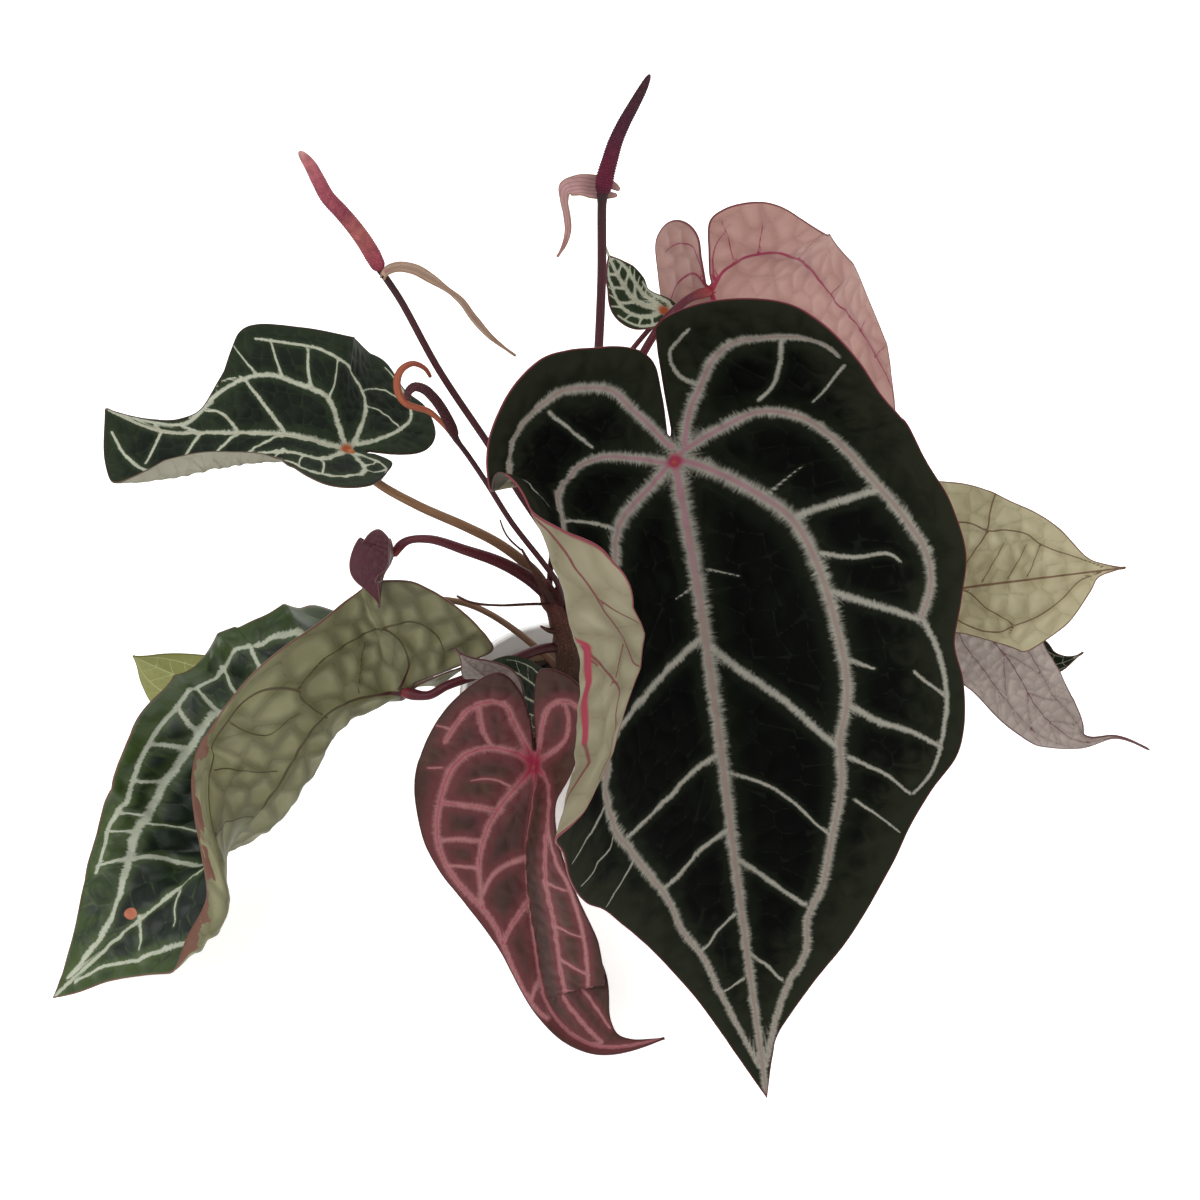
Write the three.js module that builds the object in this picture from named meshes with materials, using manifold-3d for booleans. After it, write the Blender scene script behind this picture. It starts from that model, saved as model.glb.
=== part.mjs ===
// Potted anthurium: a glazed pot with a nursery pot in it, bark soil, one short stem,
// twelve velvet leaves on their petioles, three flower stalks and the dry sheaths.
// Millimetres, +Z up. The origin is the centre of the pot's base and -Y is the front.
import * as THREE from 'three';
import { mergeVertices } from 'three/addons/utils/BufferGeometryUtils.js';
import Module from 'manifold-3d';

const wasm = await Module();
wasm.setup();

// Driving dimensions
const GAP = 0.3;
const POT = { height: 126, rimRadius: 70, baseRadius: 60, wall: 5, floor: 6, sides: 40 };
const NURSERY = { rimZ: 114, rimRadius: 57.5, baseRadius: 48, wall: 2, lip: 4, sides: 32 };
const SOIL = { level: 105, relief: 2.4, rings: 6, sides: 30 };
const STEM = { bottom: 55, top: 221 };
const BLADE = { large: 1.0, small: 0.8, rib: 0.9, ribEvery: 3, edgeRows: 0.85, slit: 0.8 };
const SOCKET_HEIGHT = 7;
const GENICULUM = { swell: 1.35, length: 12 };
const STALK = { sides: 7, step: 17 };

const group = new THREE.Group();

// Materials, one for each kind of surface
function surface(color, roughness) {
  return new THREE.MeshStandardMaterial({ color, roughness, metalness: 0 });
}
const GLAZE = surface(0xe9e7e4, 0.25);
const TERRACOTTA = surface(0x8b7460, 0.7);
const BARK = surface(0x2c211b, 1.0);
const STEM_SKIN = surface(0x4a3531, 0.7);
const VELVET = surface(0x1c261d, 0.75);
const GREEN_BLADE = surface(0x4c5c3a, 0.65);
const RED_BLADE = surface(0x5a3134, 0.65);
const PINK_BLADE = surface(0xb48c8a, 0.7);
const PALE_BLADE = surface(0xaaa78a, 0.7);
const GREY_BLADE = surface(0x8f8682, 0.7);
const MAROON_SKIN = surface(0x55262f, 0.55);
const TAN_SKIN = surface(0x8a6f55, 0.6);
const SPADIX_SKIN = surface(0x6b1f2f, 0.6);
const DRY_SPATHE = surface(0x9a7a68, 0.7);
const DRY_SHEATH = surface(0x4b2a22, 0.8);

// Solids
function toSolid(geometry) {
  const bare = geometry.clone();
  bare.deleteAttribute('normal');
  bare.deleteAttribute('uv');
  const merged = mergeVertices(bare, 1e-4);
  const mesh = new wasm.Mesh({
    numProp: 3,
    vertProperties: new Float32Array(merged.attributes.position.array),
    triVerts: new Uint32Array(merged.index.array),
  });
  return new wasm.Manifold(mesh);
}

function toGeometry(solid) {
  const mesh = solid.getMesh();
  const geometry = new THREE.BufferGeometry();
  geometry.setAttribute('position', new THREE.BufferAttribute(mesh.vertProperties, 3));
  geometry.setIndex(new THREE.BufferAttribute(mesh.triVerts, 1));
  geometry.computeVertexNormals();
  return geometry;
}

function fromFaces(points, faces) {
  const geometry = new THREE.BufferGeometry();
  const flat = points.flatMap((p) => [p.x, p.y, p.z]);
  geometry.setAttribute('position', new THREE.Float32BufferAttribute(flat, 3));
  geometry.setIndex(faces.flat());
  geometry.computeVertexNormals();
  return geometry;
}

function without(geometry, ...tools) {
  return toGeometry(tools.reduce((left, tool) => left.subtract(toSolid(tool)), toSolid(geometry)));
}

function add(name, geometry, material) {
  const mesh = new THREE.Mesh(geometry, material);
  mesh.name = name;
  group.add(mesh);
  return mesh;
}

const vector = ([x, y, z]) => new THREE.Vector3(x, y, z);
const lerp = THREE.MathUtils.lerp;
const clamp = THREE.MathUtils.clamp;

// Smooth curve of equally long rows through the values at the given stations
function smooth(stations, values, at) {
  const last = stations.length - 1;
  const size = values[0].length;
  const slope = (i) => values[i].map((v, c) => (values[i + 1][c] - v) / (stations[i + 1] - stations[i]));
  const inner = (i) => {
    const before = stations[i] - stations[i - 1];
    const after = stations[i + 1] - stations[i];
    const a = slope(i - 1);
    const b = slope(i);
    return a.map((v, c) => (v * after + b[c] * before) / (before + after));
  };
  const tangent = (i) => {
    if (i > 0 && i < last) return inner(i);
    const near = i === 0 ? slope(0) : slope(last - 1);
    const next = inner(i === 0 ? 1 : last - 1);
    return near.map((v, c) => 1.5 * v - 0.5 * next[c]);
  };
  const inside = clamp(at, stations[0], stations[last]);
  let i = stations.findIndex((s) => s > inside) - 1;
  if (i < 0) i = last - 1;
  const span = stations[i + 1] - stations[i];
  const t = (inside - stations[i]) / span;
  const start = tangent(i);
  const end = tangent(i + 1);
  const beyond = at - inside;
  const row = [];
  for (let c = 0; c < size; c += 1) {
    const curve = values[i][c] * (1 + 2 * t) * (1 - t) ** 2
      + start[c] * span * t * (1 - t) ** 2
      + values[i + 1][c] * t * t * (3 - 2 * t)
      - end[c] * span * t * t * (1 - t);
    row.push(curve + (beyond < 0 ? start[c] : end[c]) * beyond);
  }
  return row;
}

// Straight lines between the rows of a table whose first column is the station
function table(rows, at) {
  if (at <= rows[0][0]) return rows[0].slice(1);
  const next = rows.findIndex((row) => row[0] > at);
  if (next < 0) return rows[rows.length - 1].slice(1);
  const a = rows[next - 1];
  const b = rows[next];
  const t = (at - a[0]) / (b[0] - a[0]);
  return a.slice(1).map((v, c) => lerp(v, b[c + 1], t));
}

// A step of given length along an arc: the sideways and upward move and the new angle
function arcStep(angle, curvature, length) {
  const bend = Math.abs(curvature) < 1e-6 ? 1e-6 : curvature;
  const end = angle + bend * length;
  return [(Math.sin(end) - Math.sin(angle)) / bend, (Math.cos(angle) - Math.cos(end)) / bend, end];
}

// A heart-shaped half outline: along the midrib in leaf lengths, across in half widths
const HEART = [
  [1, 0], [0.87, 0.12], [0.7, 0.5], [0.48, 0.87], [0.25, 1], [0.02, 0.93],
  [-0.16, 0.66], [-0.235, 0.3], [-0.15, 0.05], [-0.03, 0],
];

// A leaf blade. Its knots run along the midrib from the heel, over the junction with the
// petiole, to the tip. Each knot has the direction that the upper side faces, and for the
// left and the right half the angle at the midrib (cup) and the further turn out to the
// margin (curl). A fold turns a half over at a distance from the midrib.
class Blade {
  constructor(leaf) {
    Object.assign(this, leaf);
    this.stations = [0];
    for (let i = 1; i < this.knots.length; i += 1) {
      const step = vector(this.knots[i]).distanceTo(vector(this.knots[i - 1]));
      this.stations.push(this.stations[i - 1] + step);
    }
    const junction = this.stations[1];
    this.stations = this.stations.map((s) => s - junction);
    this.length = this.stations[this.stations.length - 1];
  }

  half(side) {
    const own = this[side];
    if (own) return own;
    const shape = this.shape ?? HEART;
    const lobe = this.lobe ?? 1;
    return shape.map(([along, across]) => [
      along * this.length * (along < 0 ? lobe : 1),
      across * this.width,
    ]);
  }

  // Points evenly spread along one half outline, from the tip to the sinus
  margin(side, count) {
    const curve = new THREE.CatmullRomCurve3(
      this.half(side).map(([along, across]) => new THREE.Vector3(across, along, 0)),
      false, 'catmullrom', 0.5,
    );
    const points = curve.getSpacedPoints(count);
    return points.map((p, i) => [i === 0 || i === count ? 0 : Math.max(p.x, BLADE.slit), p.y]);
  }

  // The closed outline: tip, right half, sinus, left half
  outline(count) {
    const right = this.margin('right', count);
    const left = this.margin('left', count);
    right[count][1] = (right[count][1] + left[count][1]) / 2;
    const back = left.slice(1, count).reverse().map(([across, along]) => [-across, along]);
    return [...right, ...back];
  }

  // From flat leaf coordinates to space, lifted by some distance off the middle surface
  point(across, along, lift) {
    const right = across >= 0;
    const sign = right ? 1 : -1;
    const inside = clamp(along, this.stations[0], this.length);
    const pick = right ? 1 : 0;
    const cups = smooth(this.stations, this.cup, inside).map(THREE.MathUtils.degToRad);
    const cup = cups[pick];
    const curl = THREE.MathUtils.degToRad(smooth(this.stations, this.curl, inside)[pick]);
    const reach = Math.abs(across);
    const bend = curl / this.width;
    let [side, up, angle] = arcStep(cup, bend, reach);
    let height = lift;
    if (reach < 1e-6) {
      angle = (cups[1] - cups[0]) / 2;
      height /= Math.cos((cups[1] + cups[0]) / 2);
    }
    const fold = this.folds?.find((one) => one.side === sign);
    if (fold) {
      const [distance, turn] = table(fold.at, along);
      const sweep = THREE.MathUtils.degToRad(turn);
      const first = Math.min(reach, distance);
      const second = clamp(reach - distance, 0, sweep * fold.radius);
      const third = Math.max(reach - distance - sweep * fold.radius, 0);
      const a = arcStep(cup, bend, first);
      const b = arcStep(a[2], bend + 1 / fold.radius, second);
      const c = arcStep(b[2], bend, third);
      side = a[0] + b[0] + c[0];
      up = a[1] + b[1] + c[1];
      angle = c[2];
    }
    if (this.wave && this.wave.side === sign) {
      const phase = (this.wave.count * along) / this.length + this.wave.phase;
      height += this.wave.height * (reach / this.width) ** 2 * Math.sin(2 * Math.PI * phase);
    }
    const spot = vector(smooth(this.stations, this.knots, along));
    const ahead = vector(smooth(this.stations, this.knots, along + 0.5));
    const behind = vector(smooth(this.stations, this.knots, along - 0.5));
    const forward = ahead.sub(behind).normalize();
    const normal = vector(smooth(this.stations, this.face, inside));
    normal.addScaledVector(forward, -normal.dot(forward)).normalize();
    const outward = new THREE.Vector3().crossVectors(normal, forward);
    spot.addScaledVector(outward, sign * (side - Math.sin(angle) * height));
    spot.addScaledVector(normal, up + Math.cos(angle) * height);
    return spot;
  }

  // How far the veins press the blade down: radiating ribs that fade towards the margin
  rib(column, fraction) {
    if (column % BLADE.ribEvery !== 0 || column === this.columns) return 0;
    return BLADE.rib * (this.ribs ?? 1) * fraction * (1 - fraction) * 4;
  }

  // Rings of points from the junction out to the margin, as flat [across, along, drop] rows
  rings(count) {
    const outline = this.outline(this.columns);
    return Array.from({ length: count }, (_, row) => {
      const fraction = ((row + 1) / this.rows) ** BLADE.edgeRows;
      return outline.map(([across, along], column) => [
        across * fraction, along * fraction, this.rib(column, fraction),
      ]);
    });
  }

  // A closed solid between a lower and an upper layer, each one centre point and its rings
  between(lower, upper, rows) {
    const ring = this.columns * 2;
    const bottom = 1 + rows * ring;
    const at = (start, row, column) => start + 1 + (row - 1) * ring + (column % ring);
    const faces = [];
    for (let column = 0; column < ring; column += 1) {
      const next = column + 1;
      faces.push([0, at(0, 1, column), at(0, 1, next)]);
      faces.push([bottom, at(bottom, 1, next), at(bottom, 1, column)]);
      for (let row = 1; row < rows; row += 1) {
        const corners = (start) => [
          at(start, row, column), at(start, row + 1, column),
          at(start, row + 1, next), at(start, row, next),
        ];
        const [a, b, c, d] = corners(0);
        faces.push([a, b, c], [a, c, d]);
        const [e, f, g, h] = corners(bottom);
        faces.push([e, g, f], [e, h, g]);
      }
      const rim = [at(0, rows, column), at(0, rows, next)];
      const foot = [at(bottom, rows, column), at(bottom, rows, next)];
      faces.push([rim[1], rim[0], foot[0]], [rim[1], foot[0], foot[1]]);
    }
    return fromFaces([...upper, ...lower], faces);
  }

  get junction() {
    return this.knots[1];
  }

  body() {
    const rings = this.rings(this.rows).flat();
    const layer = (height) => [
      this.point(0, 0, height),
      ...rings.map(([across, along, drop]) => this.point(across, along, height - drop)),
    ];
    return this.between(layer(-this.thick / 2), layer(this.thick / 2), this.rows);
  }

  // What a petiole leaves free: the space from a gap under the blade to well above it,
  // round the junction, with the notch between the lobes closed
  socket() {
    const [ring] = this.rings(1);
    const sinus = this.columns;
    let right = sinus - 1;
    let left = sinus + 1;
    while (ring[right - 1][1] < ring[right][1]) right -= 1;
    while (ring[left + 1][1] < ring[left][1]) left += 1;
    const back = Math.min(ring[right][1], ring[left][1]);
    for (let column = right + 1; column < left; column += 1) ring[column][1] = back;
    const height = -this.thick / 2 - GAP;
    const lower = [
      this.point(0, 0, height),
      ...ring.map(([across, along, drop]) => this.point(across, along, height - drop)),
    ];
    const normal = vector(this.face[1]).normalize().multiplyScalar(SOCKET_HEIGHT);
    return this.between(lower, lower.map((p) => p.clone().add(normal)), 1);
  }
}

// A tapered, closed stalk along a smooth curve, with its radius given for each share of it
function stalk(points, radiusAt, { sides = STALK.sides, step = STALK.step, relief = () => 0 } = {}) {
  const curve = new THREE.CatmullRomCurve3(points.map(vector), false, 'centripetal');
  const steps = Math.max(4, Math.round(curve.getLength() / step));
  const frames = curve.computeFrenetFrames(steps, false);
  const tube = new THREE.CylinderGeometry(1, 1, 1, sides, steps);
  const position = tube.attributes.position;
  const corner = new THREE.Vector3();
  for (let i = 0; i < position.count; i += 1) {
    corner.fromBufferAttribute(position, i);
    const share = corner.y + 0.5;
    const ring = Math.round(share * steps);
    const side = Math.round((Math.atan2(corner.z, corner.x) / (2 * Math.PI) + 1) * sides);
    const radius = radiusAt(share) + relief(ring, side, steps);
    const place = curve.getPointAt(ring / steps);
    place.addScaledVector(frames.binormals[ring], corner.x * radius);
    place.addScaledVector(frames.normals[ring], corner.z * radius);
    position.setXYZ(i, place.x, place.y, place.z);
  }
  tube.computeVertexNormals();
  return tube;
}

// Radius of a petiole: it tapers away from the stem and swells just under the blade
function petioleRadius(length, near, far) {
  return (share) => {
    const left = (1 - share) * length;
    const swell = 1 + (GENICULUM.swell - 1) * Math.exp(-((left / GENICULUM.length - 0.6) ** 2) * 4);
    return lerp(near, far, share) * swell;
  };
}

function routeLength(points) {
  return points.slice(1).reduce((sum, p, i) => sum + vector(p).distanceTo(vector(points[i])), 0);
}

// Pots
function lathe(profile, sides) {
  const geometry = new THREE.LatheGeometry(profile.map(([r, z]) => new THREE.Vector2(r, z)), sides);
  geometry.rotateX(Math.PI / 2);
  return geometry;
}

function potWall(z) {
  return lerp(POT.baseRadius, POT.rimRadius, z / POT.height);
}

function makePot() {
  const foot = 5;
  const lip = POT.wall / 2;
  const profile = [[0, 0], [potWall(0) - foot, 0]];
  for (const turn of [30, 60, 90]) {
    const a = THREE.MathUtils.degToRad(turn);
    profile.push([potWall(0) - foot + foot * Math.sin(a), foot - foot * Math.cos(a)]);
  }
  profile.push([POT.rimRadius, POT.height - lip]);
  for (const turn of [45, 90, 135, 180]) {
    const a = THREE.MathUtils.degToRad(turn);
    profile.push([POT.rimRadius - lip + lip * Math.cos(a), POT.height - lip + lip * Math.sin(a)]);
  }
  profile.push([potWall(POT.floor + foot) - POT.wall, POT.floor + foot]);
  profile.push([potWall(POT.floor) - POT.wall - foot, POT.floor], [0, POT.floor]);
  return lathe(profile, POT.sides);
}

const NURSERY_FLOOR = POT.floor + GAP;

function nurseryWall(z) {
  const share = (z - NURSERY_FLOOR) / (NURSERY.rimZ - NURSERY_FLOOR);
  return lerp(NURSERY.baseRadius, NURSERY.rimRadius - NURSERY.lip / 2, share);
}

function makeNurseryPot() {
  const inside = NURSERY_FLOOR + NURSERY.wall;
  const collar = NURSERY.rimZ - NURSERY.lip * 1.5;
  return lathe([
    [0, NURSERY_FLOOR],
    [nurseryWall(NURSERY_FLOOR), NURSERY_FLOOR],
    [nurseryWall(collar), collar],
    [NURSERY.rimRadius, collar + NURSERY.lip / 2],
    [NURSERY.rimRadius, NURSERY.rimZ - 1],
    [NURSERY.rimRadius - 1, NURSERY.rimZ],
    [NURSERY.rimRadius - NURSERY.lip, NURSERY.rimZ],
    [nurseryWall(collar) - NURSERY.wall, collar],
    [nurseryWall(inside) - NURSERY.wall, inside],
    [0, inside],
  ], NURSERY.sides);
}

// Bark soil: a plug that fills the nursery pot, with a lumpy top
function soilHeight(x, y) {
  const lumps = Math.sin(x * 0.31 + 1.3) * Math.cos(y * 0.27) + 0.6 * Math.sin(x * 0.63 - y * 0.48 + 2);
  return SOIL.level + SOIL.relief * lumps;
}

function makeSoil() {
  const bottom = NURSERY_FLOOR + NURSERY.wall + GAP;
  const radius = (z) => nurseryWall(z) - NURSERY.wall - GAP;
  const points = [new THREE.Vector3(0, 0, soilHeight(0, 0))];
  for (let ring = 1; ring <= SOIL.rings; ring += 1) {
    for (let side = 0; side < SOIL.sides; side += 1) {
      const angle = (2 * Math.PI * side) / SOIL.sides;
      const r = (radius(SOIL.level - SOIL.relief * 2) * ring) / SOIL.rings;
      const x = r * Math.cos(angle);
      const y = r * Math.sin(angle);
      points.push(new THREE.Vector3(x, y, soilHeight(x, y)));
    }
  }
  const foot = points.length;
  for (let side = 0; side < SOIL.sides; side += 1) {
    const angle = (2 * Math.PI * side) / SOIL.sides;
    const r = radius(bottom);
    points.push(new THREE.Vector3(r * Math.cos(angle), r * Math.sin(angle), bottom));
  }
  points.push(new THREE.Vector3(0, 0, bottom));
  const centre = points.length - 1;
  const at = (ring, side) => 1 + (ring - 1) * SOIL.sides + (side % SOIL.sides);
  const faces = [];
  for (let side = 0; side < SOIL.sides; side += 1) {
    const next = (side + 1) % SOIL.sides;
    faces.push([0, at(1, side), at(1, next)]);
    for (let ring = 1; ring < SOIL.rings; ring += 1) {
      faces.push([at(ring, side), at(ring + 1, side), at(ring + 1, next)]);
      faces.push([at(ring, side), at(ring + 1, next), at(ring, next)]);
    }
    faces.push([at(SOIL.rings, side), foot + side, foot + next]);
    faces.push([at(SOIL.rings, side), foot + next, at(SOIL.rings, next)]);
    faces.push([centre, foot + next, foot + side]);
  }
  return fromFaces(points, faces);
}

// Stem: stands in the soil, with a ring at each old leaf scar, and leans left at the top
const STEM_ROUTE = [
  [5, -2, STEM.bottom], [4, -2, 110], [2, -1, 160], [-2, 0, 188], [-9, 0, 208], [-15, 0, STEM.top],
];
const STEM_RADII = [[0, 9], [0.35, 9.5], [0.62, 8.5], [0.8, 7.5], [0.92, 6.2], [1, 4.8]];
const STEM_SCAR = { count: 9, height: 0.4 };

function makeStem(extra = 0) {
  const scar = (share) => STEM_SCAR.height * Math.cos(2 * Math.PI * share * STEM_SCAR.count);
  const radius = (share) => table(STEM_RADII, share)[0] + scar(share) + extra;
  return stalk(STEM_ROUTE, radius, { sides: 10, step: 8 });
}

// Leaves. Knots and petioles are routes in space, and outlines are [along, across] the blade.
const AWAY = [0, 0.75, -0.66];
const LEAVES = {
  great: {
    width: 145, thick: BLADE.large, columns: 26, rows: 9, material: VELVET,
    knots: [
      [51, 0, 418], [66, -30, 337], [77, -80, 297], [89, -130, 235], [104, -182, 139],
      [124, -240, 14],
    ],
    face: [
      [-0.12, -0.68, 0.72], [-0.1, -0.68, 0.72], [0, -0.69, 0.73], [0, -0.69, 0.73],
      [0, -0.75, 0.66], [0, -0.75, 0.66],
    ],
    right: [
      [395, 0], [386, 2], [366, 7], [350, 13], [320, 36], [291, 61], [250, 88], [224, 103],
      [205, 117], [188, 132], [170, 138], [146, 140], [125, 138], [104, 145], [80, 152],
      [56, 148], [34, 139], [0, 133], [-28, 124], [-57, 116], [-80, 104], [-93, 86], [-96, 58],
      [-92, 28], [-82, 5], [-68, 1], [-15, 0],
    ],
    left: [
      [395, 0], [372, 10], [344, 22], [320, 33], [300, 44], [272, 62], [245, 84], [232, 96],
      [221, 111], [200, 130], [183, 144], [175, 155], [166, 172], [153, 178], [131, 174],
      [112, 175], [89, 178], [72, 182], [63, 178], [57, 163], [50, 153], [40, 152],
      [20, 150], [-20, 140], [-50, 131], [-66, 120], [-80, 100], [-87, 76],
      [-85, 56], [-80, 38], [-77, 27], [-73, 17], [-67, 8], [-57, 2], [-40, 1], [-15, 0],
    ],
    cup: [[30, 22], [32, 14], [34, 14], [34, 12], [25, 12], [0, 0]],
    curl: [[30, 5], [35, 0], [45, -8], [40, -8], [15, -10], [0, 0]],
    wave: { side: 1, height: 4, count: 3.2, phase: 0.1 },
    folds: [
      {
        side: -1,
        radius: 6,
        at: [
          [30, 156, 0], [44, 152, 30], [56, 147, 60], [66, 146, 95], [82, 136, 130],
          [94, 124, 145], [109, 126, 150], [124, 133, 155], [142, 142, 160], [152, 155, 160],
          [164, 168, 150], [180, 182, 120],
        ],
      },
    ],
    petiole: {
      route: [[1, -1, 168], [14, 4, 192], [32, 8, 232], [50, 2, 276], [62, -18, 318]],
      radii: [4, 3], material: MAROON_SKIN,
    },
  },
  left: {
    width: 100, thick: BLADE.large, columns: 24, rows: 8, material: GREEN_BLADE,
    knots: [
      [-60, -24, 172], [-104, -35, 159], [-145, -65, 161], [-180, -95, 127], [-222, -120, 92],
      [-271, -145, 59], [-324, -165, 14],
    ],
    face: [
      [-0.51, 0.76, 0.41], [-0.6, 0.71, 0.37], [-0.6, 0.71, 0.37], [-0.62, 0.59, 0.52],
      [-0.46, -0.21, 0.86], [-0.26, -0.37, 0.89], [-0.19, -0.52, 0.83],
    ],
    right: [
      [305, 0], [285, 10], [262, 19], [238, 34], [215, 52], [190, 68], [160, 72], [128, 66],
      [95, 60], [60, 59], [40, 60], [23, 67], [5, 72], [-12, 74], [-26, 71], [-37, 66],
      [-46, 56], [-53, 45], [-58, 35], [-62, 24], [-65, 12], [-64, 3], [-48, 1], [-10, 0],
    ],
    left: [
      [305, 0], [287, 9], [262, 25], [240, 44], [223, 58], [208, 74], [195, 91], [179, 112],
      [162, 126], [145, 138], [128, 147], [103, 159], [80, 161], [58, 146], [37, 133], [25, 125],
      [14, 124], [5, 131], [-6, 108], [-18, 72], [-32, 42], [-42, 22], [-42, 6], [-28, 1], [-8, 0],
    ],
    cup: [[10, 45], [-10, 42], [-40, 40], [-50, 40], [-50, 5], [5, 5], [0, 0]],
    curl: [[50, 15], [30, 20], [0, 20], [0, 20], [20, 0], [20, 5], [0, 0]],
    folds: [
      {
        side: 1,
        radius: 5,
        at: [[95, 44, 0], [120, 44, 60], [145, 46, 110], [170, 48, 140], [200, 46, 150], [250, 45, 150]],
      },
      {
        side: -1,
        radius: 13,
        at: [
          [-20, 3, 0], [20, 3, 90], [60, 3, 120], [110, 8, 122],
          [150, 20, 115], [185, 26, 90], [215, 24, 30], [240, 20, 0],
        ],
      },
    ],
    petiole: {
      route: [
        [1, -1, 165], [-14, -9, 171], [-40, -27, 173.5], [-57, -31.5, 168.5],
        [-74, -37, 165], [-86, -39.5, 159],
      ],
      radii: [3.4, 2.8], material: MAROON_SKIN,
    },
  },
  red: {
    width: 70, thick: BLADE.large, columns: 20, rows: 8, material: RED_BLADE,
    knots: [
      [-19, -85, 207], [-17, -95, 153], [-23, -125, 109], [-18, -154, 63], [-8, -182, 27],
      [23, -219, 38], [62, -217, 44],
    ],
    face: [
      [-0.1, -0.61, 0.79], [-0.15, -0.68, 0.72], [-0.15, -0.75, 0.65], [-0.1, -0.75, 0.65],
      [0, -0.75, 0.66], [0.1, -0.21, 0.97], [0, 0.29, 0.96],
    ],
    right: [
      [245, 0], [236, 2], [226, 4], [217, 8], [211, 16], [204, 28], [196, 37], [186, 46], [175, 54],
      [160, 55], [140, 54], [122, 58], [96, 59], [62, 56],
      [34, 48], [12, 42], [-12, 40], [-34, 36], [-52, 34], [-66, 24], [-70, 8], [-48, 2],
      [-10, 0],
    ],
    left: [
      [245, 0], [230, 3], [210, 5], [180, 7], [154, 10], [130, 17], [104, 28], [84, 41],
      [66, 56], [46, 68], [22, 74], [-12, 68], [-42, 54], [-62, 35], [-70, 16], [-50, 4],
      [-10, 0],
    ],
    cup: [[10, 0], [10, 55], [5, 78], [5, 72], [0, 60], [0, 20], [0, 0]],
    curl: [[-10, 10], [-10, 0], [-15, -70], [-20, -80], [-20, -60], [0, 0], [0, 0]],
    petiole: {
      route: [[4, -2, 122], [-4, -20, 132], [-10, -50, 132], [-15, -76, 133], [-17, -91, 146]],
      radii: [2.8, 2.2], material: MAROON_SKIN,
    },
  },
  upper: {
    width: 75, thick: BLADE.large, columns: 18, rows: 6, material: VELVET,
    knots: [
      [-108, 28, 298], [-130, 20, 308], [-162, 15, 322], [-200, 8, 329], [-234, 0, 336],
      [-263, -5, 356],
    ],
    face: [
      [0, -0.34, 0.94], [0, -0.34, 0.94], [0, -0.34, 0.94], [0, -0.42, 0.91], [-0.1, -0.51, 0.86],
      [-0.21, -0.58, 0.79],
    ],
    right: [
      [146, 0], [142, 10], [135, 28], [126, 42], [112, 47], [95, 47], [75, 43], [55, 38],
      [40, 34], [27, 41], [14, 45], [0, 42], [-10, 34], [-20, 20], [-27, 8], [-18, 1], [-5, 0],
    ],
    left: [
      [146, 0], [130, 3], [116, 6], [100, 9], [87, 15], [77, 32], [70, 50], [64, 62], [54, 67],
      [36, 68], [16, 70], [-12, 75], [-34, 70], [-46, 50], [-59, 38], [-62, 18], [-48, 4], [-20, 0],
    ],
    cup: [[5, 20], [10, 25], [15, 25], [15, 20], [10, 10], [0, 0]],
    curl: [[0, 0], [10, 0], [10, 0], [10, 0], [0, 0], [0, 0]],
    folds: [
      {
        side: 1,
        radius: 3,
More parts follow.
